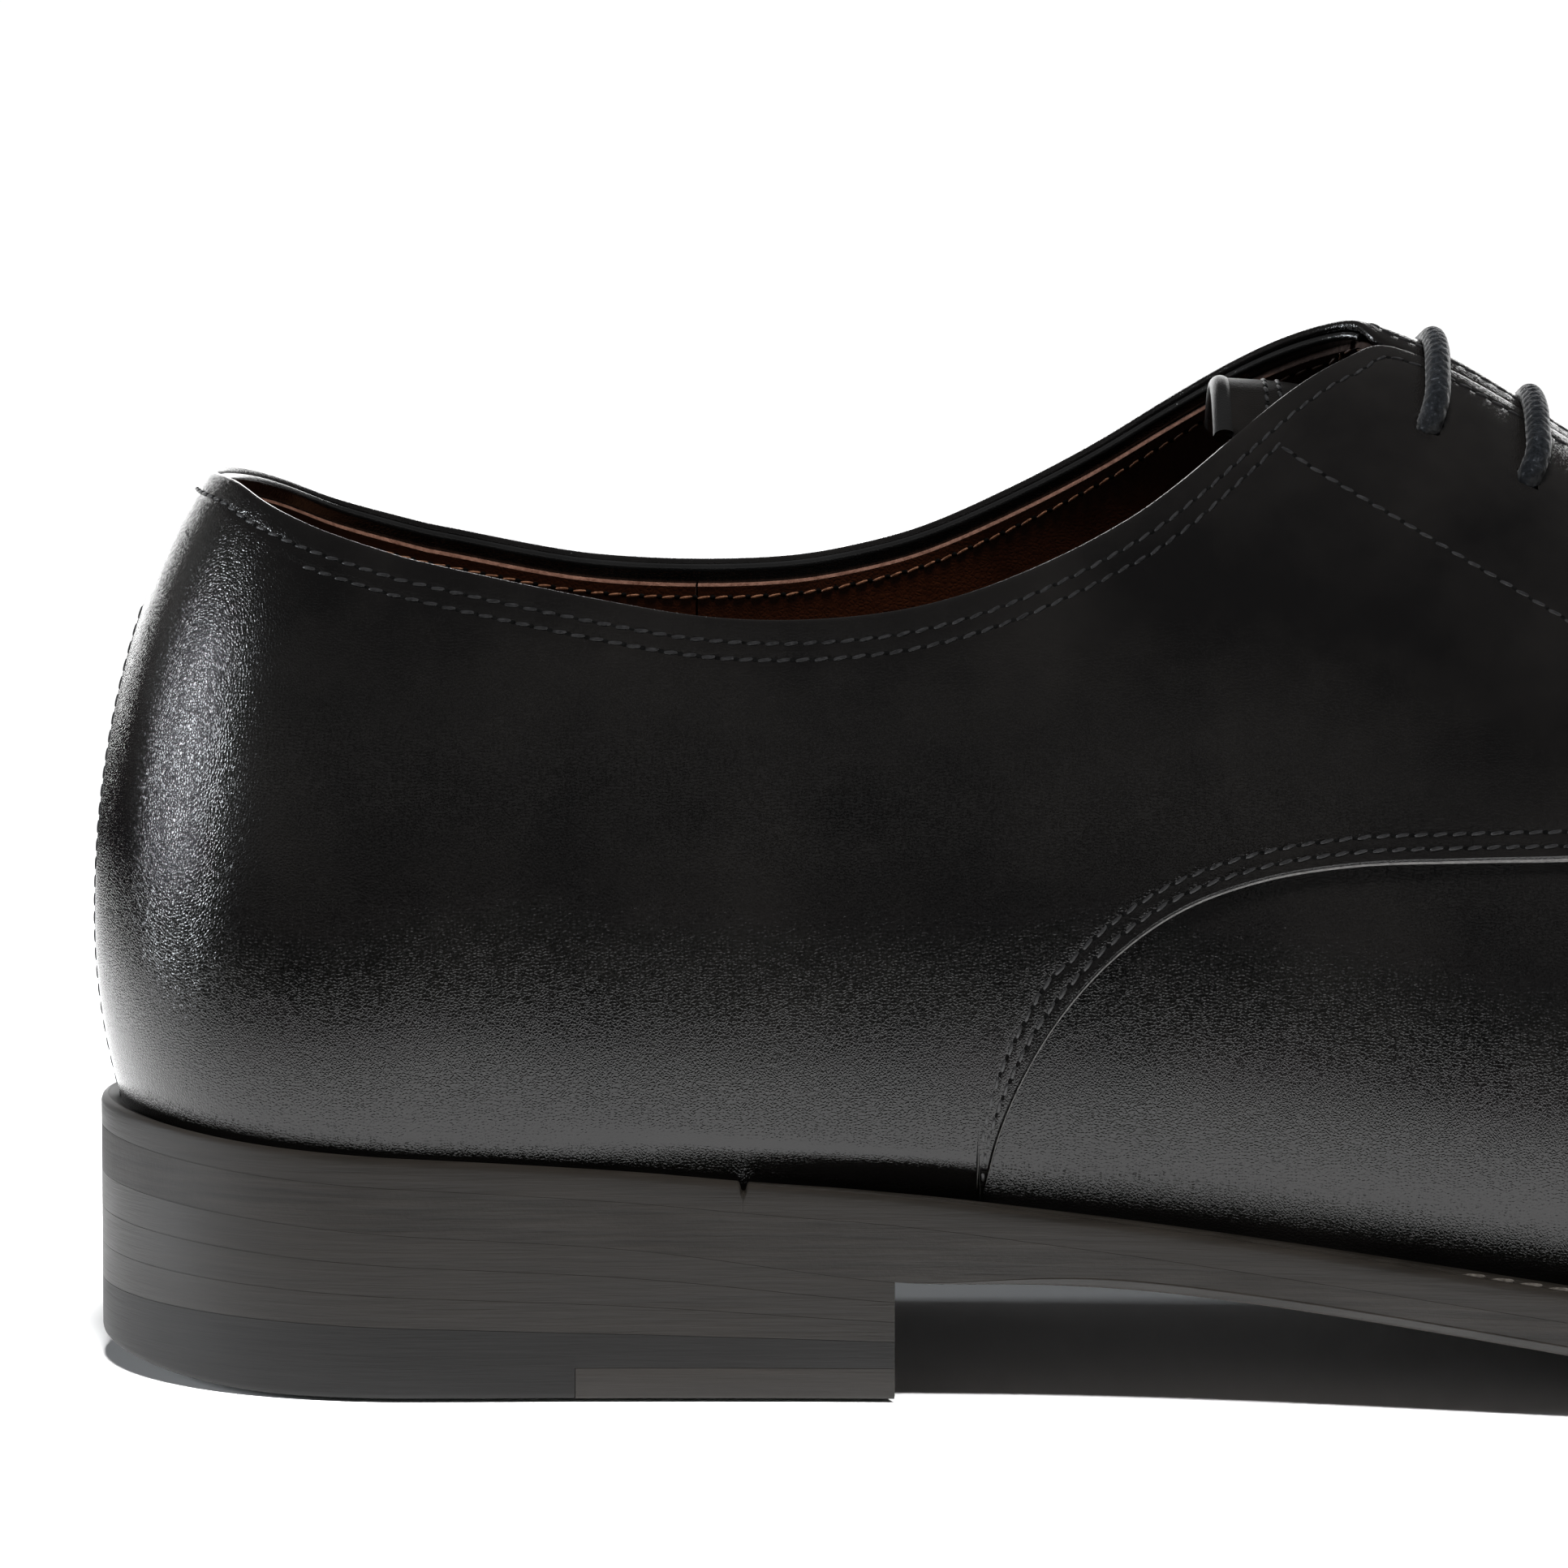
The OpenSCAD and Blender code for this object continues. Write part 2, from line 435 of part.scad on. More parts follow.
// Columns from one side's front end round the heel to the other side's
function round_heel(x1, lo, hi) = let (qs = concat(rev(x_qs(seat_x + 7, x1, 4)), rev(fan_qs)))
    concat([for (q = qs) [LATERAL, q, lo(LATERAL, q), hi(LATERAL, q)]],
        [for (i = [len(qs) - 2 : -1 : 0]) let (q = qs[i]) [MEDIAL, q, lo(MEDIAL, q), hi(MEDIAL, q)]]);
module heel_grip() color([0.33, 0.16, 0.1]) place()
    shell(round_heel(grip_x, function(s, q) 0, function(s, q) w_top(s, q, 0.4)), 8, in_3, in_4);
counter_x = 78;
function counter_z(x) = mix(66, 44, x / counter_x);
module heel_counter() color([0.55, 0.42, 0.3]) place()
    shell(round_heel(counter_x, function(s, q) 0, function(s, q) w_z(s, q, counter_z(q_x(s, q)))), 5,
        in_1, in_2);
puff_x = 244;
module toe_puff() color([0.8, 0.76, 0.68]) place()
    shell(both([for (q = toe_qs(throat_x + 2, 12)) if (q > puff_x - seat_x) q],
        function(s, q) 0, function(s, q) 1), rows, in_1, in_2, true);
// The folded edge along the topline
function binding_lo(side, q) = let (x = q_x(side, q)) w_z(side, q, top_z(side, x) - binding_h + gap);
function binding_hi(side, q) = let (x = q_x(side, q)) w_z(side, q, top_z(side, x));
module topline_binding() color([0.04, 0.04, 0.04]) place()
    shell(let (qs = rev([for (q = quarter_qs) if (q < facing_top_x - 2 - seat_x) q]))
        concat([for (q = qs) [LATERAL, q, binding_lo(LATERAL, q), binding_hi(LATERAL, q)]],
            [for (i = [len(qs) - 2 : -1 : 0]) let (q = qs[i])
                [MEDIAL, q, binding_lo(MEDIAL, q), binding_hi(MEDIAL, q)]]),
        2, out_1 - 0.1, in_4 + 0.1);

/* ---- tongue ---- */

tongue_x0 = 117;         // top end of the tongue
tongue_x1 = 199;         // where it is sewn in
tongue_a = 15.5;         // half width of the tongue's arch
tongue_side = -3.4;        // sideways place of the tongue's middle from the ridge
tongue_b = 20;           // height of the tongue's arch
tongue_turn = 52;        // how far the arch reaches down on each side, in degrees
tongue_depth = [[tongue_x0 - 2, 5], [122, 5.9], [131, 7.7], [138, 8.1], [180, 7.9], [192, 5.3],
    [tongue_x1, 3.6]];
function tongue_pt(x, a, d) = let (z = curve(ridge_z, x) - curve(tongue_depth, x) - tongue_b)
    [x, curve(ridge_y, x, true) + tongue_side + (tongue_a + d) * sin(a), z + (tongue_b + d) * cos(a)];
module arch(xs, d_out, d_in) {
    turn = function(x) tongue_turn * mix(0.72, 1, ramp(tongue_x0 - 2, tongue_x0 + 9, x));
    as = steps(-1, 1, 12);
    skin([for (x = xs, a = as) tongue_pt(x, a * turn(x), d_out)],
        [for (x = xs, a = as) tongue_pt(x, a * turn(x), d_in)], len(xs), len(as), flip = true);
}
tongue_t = 1.1;
tongue_xs = steps(tongue_x0, tongue_x1, 16);
module tongue() color([0.05, 0.05, 0.055]) place() arch(tongue_xs, 0, -tongue_t);
module tongue_lining() color([0.33, 0.16, 0.1]) place()
    arch([for (x = tongue_xs) if (x < tongue_x1 - 3) x], -tongue_t - gap, -tongue_t - lining_t);
module tongue_binding() color([0.04, 0.04, 0.04]) place()
    arch([tongue_x0 - 2, tongue_x0 - 1.5, tongue_x0 - gap], 0.3, -tongue_t - lining_t - 0.2);

/* ---- lace ---- */

eyelet_count = 6;
eyelet_in = 9.4;         // distance of the first eyelet from the facing edge
eyelet_widen = 1.3;      // the row moves away from the edge on its way down
function eyelet_r(side, k) = facing_r(side) + eyelet_in + eyelet_widen * k ^ 0.6;
function eyelet_x(k) = eyelet_first_x + k * eyelet_pitch;
function on_side(side, x, r, d) = let (q = x - seat_x) offset_col(side, q, [w_r(side, q, r)], [d])[0];
// [centre, outward direction] of an eyelet
function eyelet(side, k) = let (a = on_side(side, eyelet_x(k), eyelet_r(side, k), 0),
    b = on_side(side, eyelet_x(k), eyelet_r(side, k), 1)) [a, b - a];
bar_d = out_1 + lace_d / 2 + 0.3;
run_d = in_4 - lace_d / 2 - 0.35;
// One bar from side a over the ridge to the other side
function half_bar(a, k) = let (x = eyelet_x(k), e = eyelet_r(a, k)) [on_side(a, x, e, out_1 - 0.4),
    on_side(a, x, e - 1.2, bar_d), on_side(a, x, e * 0.45, bar_d + 0.3)];
function bar(k, a) = concat(half_bar(a, k), [on_side(MEDIAL, eyelet_x(k), 0, bar_d + 0.1)],
    rev(half_bar(-a, k)));
// One run under the facing, from eyelet k to eyelet n, its middle out by r from the eyelets
function run(side, k, n, r) = let (a = eyelet_x(k), b = eyelet_x(n), s = sign(b - a),
    e = eyelet_r(side, k), f = eyelet_r(side, n)) [
    on_side(side, a, e, run_d + 0.5), on_side(side, a + 2.6 * s, e + r, run_d),
    on_side(side, (a + b) / 2, (e + f) / 2 + r, run_d), on_side(side, b - 2.6 * s, f + r, run_d),
    on_side(side, b, f, run_d + 0.5)];
// A tucked end, running from eyelet k towards the toe
function tail(side, k, r, len) = let (a = eyelet_x(k), e = eyelet_r(side, k)) concat(
    [on_side(side, a, e, run_d + 0.5)],
    [for (i = [0 : 3]) on_side(side, a + 3 + i * len / 3, e + r, run_d)]);
near_r = -1.5;
far_r = 1.7;
tuck_r = 5;
lace_route = concat(rev(tail(MEDIAL, 0, tuck_r, 30)), bar(0, MEDIAL), run(LATERAL, 0, 2, near_r),
    bar(2, LATERAL), run(MEDIAL, 2, 4, near_r), bar(4, MEDIAL), run(LATERAL, 4, 5, near_r),
    bar(5, LATERAL), run(MEDIAL, 5, 3, far_r), bar(3, MEDIAL), run(LATERAL, 3, 1, far_r),
    bar(1, LATERAL), tail(MEDIAL, 1, tuck_r + 3.2, 24));
function tangent(p, i) = unit(p[min(i + 1, len(p) - 1)] - p[max(i - 1, 0)]);
function across(v, t) = unit(v - t * (v * t));
// A tube along a route, its rings carried on from one to the next without a twist
module tube(route, d) {
    n = len(route);
    sides = [for (i = 0, v = across([0.3, 1, 0.2], tangent(route, 0)); i < n; i = i + 1,
        v = across(v, tangent(route, min(i, n - 1)))) v];
    rings = [for (i = [0 : n - 1]) let (t = tangent(route, i), u = sides[i], v = cross(t, u))
        each [for (k = [0 : ring_fn - 1]) let (a = 360 * k / ring_fn)
            route[i] + (u * cos(a) + v * sin(a)) * d / 2]];
    walls = [for (i = [0 : n - 2], k = [0 : ring_fn - 1]) let (a = i * ring_fn + k,
        b = i * ring_fn + (k + 1) % ring_fn) each [[a, a + ring_fn, b], [b, a + ring_fn, b + ring_fn]]];
    polyhedron(points = rings, faces = concat(walls, [[for (k = [0 : ring_fn - 1]) k]],
        [[for (k = [ring_fn - 1 : -1 : 0]) (n - 1) * ring_fn + k]]), convexity = 10);
}
module lace() color([0.1, 0.1, 0.11]) place() tube(lace_route, lace_d);

outsole();
welt();
heel_rand();
insole();
cork_filler();
shank();
sock_liner();
heel_lift(1);  // heel_lift_1
heel_lift(2);  // heel_lift_2
heel_lift(3);  // heel_lift_3
heel_top_lift();
heel_insert();
heel_nails();
vamp();
quarter_lateral();
quarter_medial();
facing_stay_lateral();
facing_stay_medial();
vamp_lining();
quarter_lining_lateral();
quarter_lining_medial();
heel_grip();
heel_counter();
toe_puff();
topline_binding();
tongue();
tongue_lining();
tongue_binding();
lace();
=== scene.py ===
# Visual model of a leather lace-up shoe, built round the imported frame.
# Shoe coordinates are millimetres from the heel's rear; to_frame() turns them into the frame's metres.
import math

import bmesh
import bpy
import numpy as np
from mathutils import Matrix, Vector
from mathutils.kdtree import KDTree


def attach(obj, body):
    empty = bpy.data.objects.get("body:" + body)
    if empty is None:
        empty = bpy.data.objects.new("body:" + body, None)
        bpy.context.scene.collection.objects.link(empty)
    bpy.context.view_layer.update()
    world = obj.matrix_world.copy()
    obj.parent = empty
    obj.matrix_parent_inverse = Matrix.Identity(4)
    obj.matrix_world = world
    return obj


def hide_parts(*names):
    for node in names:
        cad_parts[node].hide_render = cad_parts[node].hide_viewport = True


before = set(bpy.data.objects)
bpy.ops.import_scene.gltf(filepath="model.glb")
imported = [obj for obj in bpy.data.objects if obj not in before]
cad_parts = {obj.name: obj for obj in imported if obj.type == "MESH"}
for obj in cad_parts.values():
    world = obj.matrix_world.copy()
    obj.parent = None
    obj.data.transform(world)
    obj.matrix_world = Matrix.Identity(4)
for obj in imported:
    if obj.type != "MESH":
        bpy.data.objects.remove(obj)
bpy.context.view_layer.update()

# ---- driving dimensions, in millimetres ----

LAT, MED = -1, 1
SOLE_LEN = 300.0
SEAT = 33.0
WELT_T = 3.0
WELT_START = 67.0
BREAST = 82.0
INSERT_X, INSERT_T = 50.0, 3.2
LIFTS = 3
LEATHER, STIFF, LINING, GAP = 1.1, 0.4, 0.8, 0.05
OUT = GAP + LEATHER
LINE_OUT = -0.2 - STIFF - 0.2
LINE_IN = LINE_OUT - LINING
THROAT = 202.0
FACING_TOP = 131.0
SLIT_R, SLIT_W = 4.6, 1.8
SEAM_X0 = 91.0
LAP_W, LAP_RISE, LAP_FADE, FOOT_Z = 9.0, 1.3, 42.0, 4.5
LACE_D = 2.6
EYELET_X0, EYELET_PITCH, EYELETS, EYELET_IN, EYELET_WIDEN = 136.5, 9.9, 6, 9.4, 1.3
EYELET_D = 3.0
STITCH = 1.9
BACK_OUT = 0.5
WIDE = {LAT: 198.0, MED: 214.0}
HALF = {LAT: 51.6, MED: 49.4}      # the sole's half width at its widest place, WIDE
SIDES = ((LAT, "lateral"), (MED, "medial"))
TOE_Y, TOE_EXT, TOE_P, TOE_Q = 7.0, 6.0, 1.85, 2.0
TIP = SOLE_LEN - TOE_EXT - LEATHER - 1.1
TIP_WALL, ROUND_X = 10.0, 246.0
BULGE_W = 0.2
FAN = SEAT * math.pi / 180      # millimetres of heel seat per degree
TOP_LIFT, TOP_LIFT_FRONT = 8.2, 5.9
BEVEL_X, BEVEL_Z = 22.0, 2.4


def soften(v, sigma):
    """Gaussian smoothing of a list, keeping its two ends."""
    reach = int(3 * sigma)
    k = np.arange(-reach, reach + 1)
    g = np.exp(-k * k / (2.0 * sigma * sigma))
    return np.convolve(np.pad(v, reach, mode="reflect", reflect_type="odd"), g / g.sum(), mode="valid")


def hermite(u, h, y0, m0, y1, m1):
    """Cubic between two values with slopes m0 and m1; u runs from 0 to 1 over a step of h."""
    return ((2 * u**3 - 3 * u**2 + 1) * y0 + (u**3 - 2 * u**2 + u) * h * m0
            + (3 * u**2 - 2 * u**3) * y1 + (u**3 - u**2) * h * m1)


def smooth(points, sigma, flat=False):
    """A smooth function through a table of [x, value]; flat levels its ends."""
    xs, ys = np.array(points, float).T
    d = np.diff(ys) / np.diff(xs)
    m = np.concatenate([d[:1], (ys[2:] - ys[:-2]) / (xs[2:] - xs[:-2]), d[-1:]])
    if flat:
        m[0] = m[-1] = 0
    step = 0.25
    grid = np.arange(xs[0] - 4 * sigma, xs[-1] + 4 * sigma + step, step)
    x = np.clip(grid, xs[0], xs[-1])
    i = np.clip(np.searchsorted(xs, x, side="right") - 1, 0, len(xs) - 2)
    h = xs[i + 1] - xs[i]
    val = hermite((x - xs[i]) / h, h, ys[i], m[i], ys[i + 1], m[i + 1])
    val += np.where(grid < xs[0], (grid - xs[0]) * m[0], 0)
    val += np.where(grid > xs[-1], (grid - xs[-1]) * m[-1], 0)
    val = soften(val, sigma / step)
    return lambda v: np.interp(np.clip(v, xs[0], xs[-1]), grid, val)


welt_z = smooth([[0, 27.2], [15, 25.6], [28, 24.7], [41, 24], [56, 23], [67, 22], [83, 20.7], [98, 19],
                 [110, 17.6], [122, 16.1], [134, 14.6], [149, 12.7], [170, 10], [192, 7.9], [212, 7.3],
                 [235, 8.4], [262, 11.4], [SOLE_LEN, 17.6]], 1.5)
sole_low = smooth([[0, 19.4], [28, 17], [56, 15.2], [82, 12], [97, 11.8], [108, 11.3], [119, 10.2],
                   [131, 8.7], [149, 6.2], [165, 3.8], [185, 1.2], [198, 0.1], [206, 0], [214, 0],
                   [235, 1], [255, 3.2], [272, 5.8], [SOLE_LEN, 10.6]], 1.5)
sole_half = {
    LAT: smooth([[33, 33], [60, 32.5], [90, 33.4], [120, 37.6], [150, 44.2], [178, 50],
                 [WIDE[LAT], HALF[LAT]]], 3, True),
    MED: smooth([[33, 33], [60, 31.4], [90, 27.6], [120, 26.6], [150, 31.8], [180, 42], [200, 47.8],
                 [WIDE[MED], HALF[MED]]], 3, True)}
ext = {LAT: smooth([[33, 2], [64, 2.6], [88, 4.2], [110, 5.6], [150, 6.4], [205, 6]], 3),
       MED: smooth([[33, 2], [64, 2.2], [88, 2.4], [120, 2.6], [150, 4.2], [205, 6]], 3)}
bulge_z = smooth([[0, 45], [33, 43.5], [60, 42], [100, 38.5], [140, 32.5], [180, 27], [205, 25.5],
                  [250, 24.5], [280, 26], [SOLE_LEN, 29]], 4)
ridge_z = smooth([[0, 105], [33, 104], [70, 103.5], [100, 105], [120, 106.2], [130, 106.2], [138, 103.4],
                  [146, 98.7], [154, 93.3], [166, 85.8], [180, 78.3], [202, 68.6], [220, 61.4],
                  [240, 54.7], [260, 49], [SOLE_LEN, 39.5]], 2)
ridge_y = smooth([[33, 0], [90, 0], [125, 1.5], [150, 2], [180, 3], [205, 4.2], [250, 6.4],
                  [TIP, TOE_Y]], 3, True)
bulge = {LAT: smooth([[0, 0.108], [33, 0.105], [100, 0.1], [SOLE_LEN, 0.09]], 4),
         MED: smooth([[0, 0.108], [33, 0.105], [64, 0.12], [100, 0.2], [130, 0.26], [160, 0.2],
                      [205, 0.1], [SOLE_LEN, 0.09]], 4)}
lean = smooth([[0, 0.6], [100, 0.9], [180, 1.4], [SOLE_LEN, 1.4]], 4)
round_n = smooth([[0, 2], [60, 2], [100, 1.85], [130, 1.7], [165, 1.75], [202, 1.95], [240, 2.05],
                  [SOLE_LEN, 2.05]], 4)
top_z = {
    LAT: smooth([[0, 91.2], [5, 90.7], [11, 88.9], [19.5, 86.7], [31, 84.2], [41, 82], [53.5, 79.5],
                 [63, 78], [72.5, 77.6], [82, 78.3], [90, 80.1], [98.5, 83.3], [106.7, 87.5],
                 [112, 91.2], [117.5, 95.6], [122.7, 99.5], [128, 102.5], [133, 103.9]], 1.2),
    MED: smooth([[0, 91.2], [5, 90.4], [11, 89], [20, 86.5], [36, 83.2], [48, 80.9], [56, 80.2],
                 [64.5, 80.1], [72.5, 80.6], [79, 81.8], [86, 83.8], [95, 87.9], [104, 92.8],
                 [111, 97.3], [117.5, 101.3], [123, 104.1], [128, 105.7], [133, 106.2]], 1.2)}
SEAM = [[91, 17.5], [91.8, 24.4], [94.4, 31.6], [99.5, 39.9], [105, 45.6], [111, 49.7], [119, 52.7],
        [128, 54.3], [140, 54.9], [153, 55.3], [167, 57.2], [182, 61], [194, 65.4], [202, 68.6]]


def ramp(a, b, x):
    u = np.clip((x - a) / (b - a), 0, 1)
    return u * u * (3 - 2 * u)


def unit(v):
    return v / np.maximum(1e-9, np.linalg.norm(v, axis=-1, keepdims=True))


def to_frame(p):
    """Shoe millimetres to frame metres."""
    shift = np.array([(BACK_OUT - SOLE_LEN) / 2, (HALF[LAT] - HALF[MED]) / 2, 0])
    return (np.asarray(p, float) + shift) * 0.001


# ---- the last surface ----

def plan_y(side, x, inset, end_x):
    wide = WIDE[side]
    straight = side * (sole_half[side](x) - inset)
    w = side * (sole_half[side](wide) - inset) - TOE_Y
    u = np.clip((x - wide) / (end_x - wide), 0, 1)
    return np.where(x <= wide, straight, TOE_Y + w * (1 - u**TOE_P) ** (1 / TOE_Q))


def column(side, s):
    """Section of the last at station s: below zero an arc length round the heel, above it forward."""
    s = np.asarray(s, float)
    fan, a = s < 0, np.radians(s / FAN + 90)
    x = np.where(fan, SEAT - SEAT * np.cos(a), SEAT + s)
    skin = LEATHER + 0.1 + lean(x)
    ry = ridge_y(x)
    rf = np.where(fan, SEAT - ext[side](SEAT) - skin,
                  np.abs(plan_y(side, x, ext[side](x) + skin, TIP) - ry))
    rb = rf * (1 + bulge[side](x))
    u = np.clip((x - ROUND_X) / (TIP - ROUND_X), 0, 1)
    zt = ridge_z(x) - (ridge_z(TIP) - welt_z(TIP) - TIP_WALL) * (1 - np.sqrt(1 - u * u))
    return dict(ox=np.where(fan, SEAT, x), oy=np.where(fan, 0, ry), dx=np.where(fan, -np.cos(a), 0),
                dy=np.where(fan, side * np.sin(a), side), rf=rf, rb=rb, zf=welt_z(x) - WELT_T + 0.8,
                zb=np.minimum(bulge_z(x), zt - 2), zt=zt, n=round_n(x), x=x,
                push=2.4 * ramp(WIDE[LAT] + 55, TIP + 8, x))


def point(c, w):
    """A point of the last's section c at share w of its girth, 0 at the feather line and 1 on the ridge."""
    w = np.asarray(w, float)
    low = w < BULGE_W
    k = 1 - w / BULGE_W
    f = np.maximum(np.pi / 2 * (w - BULGE_W) / (1 - BULGE_W), 0)
    cf = np.cos(f)
    r = np.where(low, c["rb"] - (c["rb"] - c["rf"]) * k * k,
                 c["rb"] * np.sign(cf) * np.abs(cf) ** (2 / c["n"]))
    z = np.where(low, c["zb"] - (c["zb"] - c["zf"]) * k, c["zb"] + (c["zt"] - c["zb"]) * np.sin(f))
    p = c["push"] * np.where(low, 1 - k * k, cf**2)
    return np.stack([c["ox"] + c["dx"] * r + p, c["oy"] + c["dy"] * r, z], -1)


def share(c, z):
    """The share of a section's girth at height z."""
    lo = BULGE_W * (z - c["zf"]) / (c["zb"] - c["zf"])
    arc = np.arcsin(np.clip((z - c["zb"]) / (c["zt"] - c["zb"]), -1, 1))
    hi = BULGE_W + (1 - BULGE_W) * arc / (np.pi / 2)
    return np.where(z < c["zb"], lo, hi)


def share_r(side, s, r):
    """Share at distance r from the ridge; r below zero is past it, on the other side."""
    c = column(side, s)
    a = np.arccos(np.minimum(1, (np.abs(r) / c["rb"]) ** (c["n"] / 2))) / (np.pi / 2)
    return BULGE_W + (1 - BULGE_W) * np.where(np.asarray(r) < 0, 2 - a, a)


def facing_r(side):
    return (SLIT_R if side < 0 else -SLIT_R) + SLIT_W / 2


def station_x(s):
    return np.where(s < 0, SEAT - SEAT * np.cos(np.radians(s / FAN + 90)), SEAT + s)


BACK = -90 * FAN


def normals(side, s, w):
    ds, dw = 0.25, 0.003
    s = np.asarray(s, float)
    s1 = np.where(s < 0, np.minimum(s + ds, -1e-6), np.minimum(s + ds, TIP - SEAT))
    s0 = np.where(s < 0, np.maximum(s - ds, BACK), np.maximum(s - ds, 0))
    tq = point(column(side, s1), w) - point(column(side, s0), w)
    c = column(side, s)
    tw = point(c, w + dw) - point(c, np.maximum(w - dw, 0))
    n = unit(side * np.cross(tw, tq))
    tip = (s >= TIP - SEAT - 0.3)[..., None]
    return np.where(tip, np.array([1.0, 0, 0]), n)


def on_last(side, s, w, d=0.0):
    n = normals(side, s, w)
    return point(column(side, s), w) + n * np.asarray(d, float)[..., None], n


def arclength(p):
    return np.concatenate([[0], np.cumsum(np.linalg.norm(np.diff(p, axis=0), axis=1))])


def resample(side, s, w, n):
    """n stations at even spacing along a path on the last."""
    p = point(column(side, s), w)
    a = arclength(p)
    t = np.linspace(0, a[-1], n)
    return np.interp(t, a, s), np.interp(t, a, w)


# ---- meshes ----

def new_mesh(name, verts, faces, mats, smooth_deg=40, face_mats=None, fix=True):
    mesh = bpy.data.meshes.new(name)
    mesh.from_pydata([tuple(v) for v in np.asarray(to_frame(verts))], [], [tuple(f) for f in faces])
    for m in mats:
        mesh.materials.append(m)
    if face_mats is not None:
        mesh.polygons.foreach_set("material_index", np.asarray(face_mats, dtype=np.int32))
    mesh.polygons.foreach_set("use_smooth", np.ones(len(mesh.polygons), dtype=bool))
    obj = bpy.data.objects.new(name, mesh)
    bpy.context.scene.collection.objects.link(obj)
    if fix:
        bm = bmesh.new()
        bm.from_mesh(mesh)
        bmesh.ops.remove_doubles(bm, verts=bm.verts, dist=1e-6)
        bmesh.ops.recalc_face_normals(bm, faces=bm.faces)
        bm.to_mesh(mesh)
        bm.free()
    mesh.set_sharp_from_angle(angle=math.radians(smooth_deg))
    mesh.update()
    return obj


def grid_faces(rows, cols, wrap=False, start=0):
    i, j = np.meshgrid(np.arange(rows - 1), np.arange(cols if wrap else cols - 1), indexing="ij")
    a = start + i * cols + j
    b = start + i * cols + (j + 1) % cols
    return np.stack([a, a + cols, b + cols, b], -1).reshape(-1, 4)


class Patch:
    """A region of the last between a lower and an upper path of equally many stations."""

    def __init__(self, side, low, high, low_d, high_d, middle):
        """low_d and high_d are the distances of mesh rows from the two edges."""
        self.side = side
        (s0, w0), (s1, w1) = low, high
        n = len(s0)
        t = np.linspace(0, 1, 41)
        p = point(column(side, s0[:, None] + (s1 - s0)[:, None] * t), w0[:, None] + (w1 - w0)[:, None] * t)
        steps = np.linalg.norm(np.diff(p, axis=1), axis=2)
        length = np.concatenate([np.zeros((n, 1)), np.cumsum(steps, 1)], 1)
        total = length[:, -1]

        def slant(q, step):
            sine = np.linalg.norm(np.cross(unit(np.gradient(q, axis=0)), unit(step)), axis=1)
            return np.maximum(0.35, sine)

        def fit(d, k):
            """Distances square to an edge as distances along the section, squeezed where it is short."""
            d = np.asarray(d, float) / k[:, None]
            return d * np.minimum(1, total * 0.49 / np.maximum(d[:, -1], 1e-6))[:, None]

        k0 = slant(p[:, 0], p[:, 1] - p[:, 0])
        k1 = slant(p[:, -1], p[:, -1] - p[:, -2])
        lo, hi = fit(low_d, k0), total[:, None] - fit(high_d, k1)[:, ::-1]
        a, b = lo[:, -1:], hi[:, :1]
        mid = a + (b - a) * np.linspace(0, 1, middle + 2)[None, 1:-1]
        dist = np.concatenate([lo, mid, hi], 1)
        v = np.stack([np.interp(dist[i], length[i], t) for i in range(n)])
        self.s = s0[:, None] + (s1 - s0)[:, None] * v
        self.w = w0[:, None] + (w1 - w0)[:, None] * v
        self.high_dist = (total[:, None] - dist) * k1[:, None]
        self.low_dist = dist * k0[:, None]
        self.high_u = arclength(p[:, -1])
        self.low_u = arclength(p[:, 0])

    def row(self, dist, d, high=True, lo=0, hi=None):
        """Points and normals of the path at a distance from the upper or lower edge."""
        key = self.high_dist if high else self.low_dist
        n = len(key)
        s, w = np.empty(n), np.empty(n)
        for i in range(n):
            order = np.argsort(key[i])
            s[i] = np.interp(dist, key[i][order], self.s[i][order])
            w[i] = np.interp(dist, key[i][order], self.w[i][order])
        s, w = s[lo:hi], w[lo:hi]
        return on_last(self.side, s, w, d(s, w) if callable(d) else d)


def edge_dirs(p, n, inward):
    """Unit vectors in the surface, square to the edge p and pointing out of the piece."""
    e = unit(np.cross(np.gradient(p, axis=0), n))
    flip = np.sign(np.sum(e * (p - inward), axis=1, keepdims=True))
    return e * np.where(flip == 0, 1, flip)


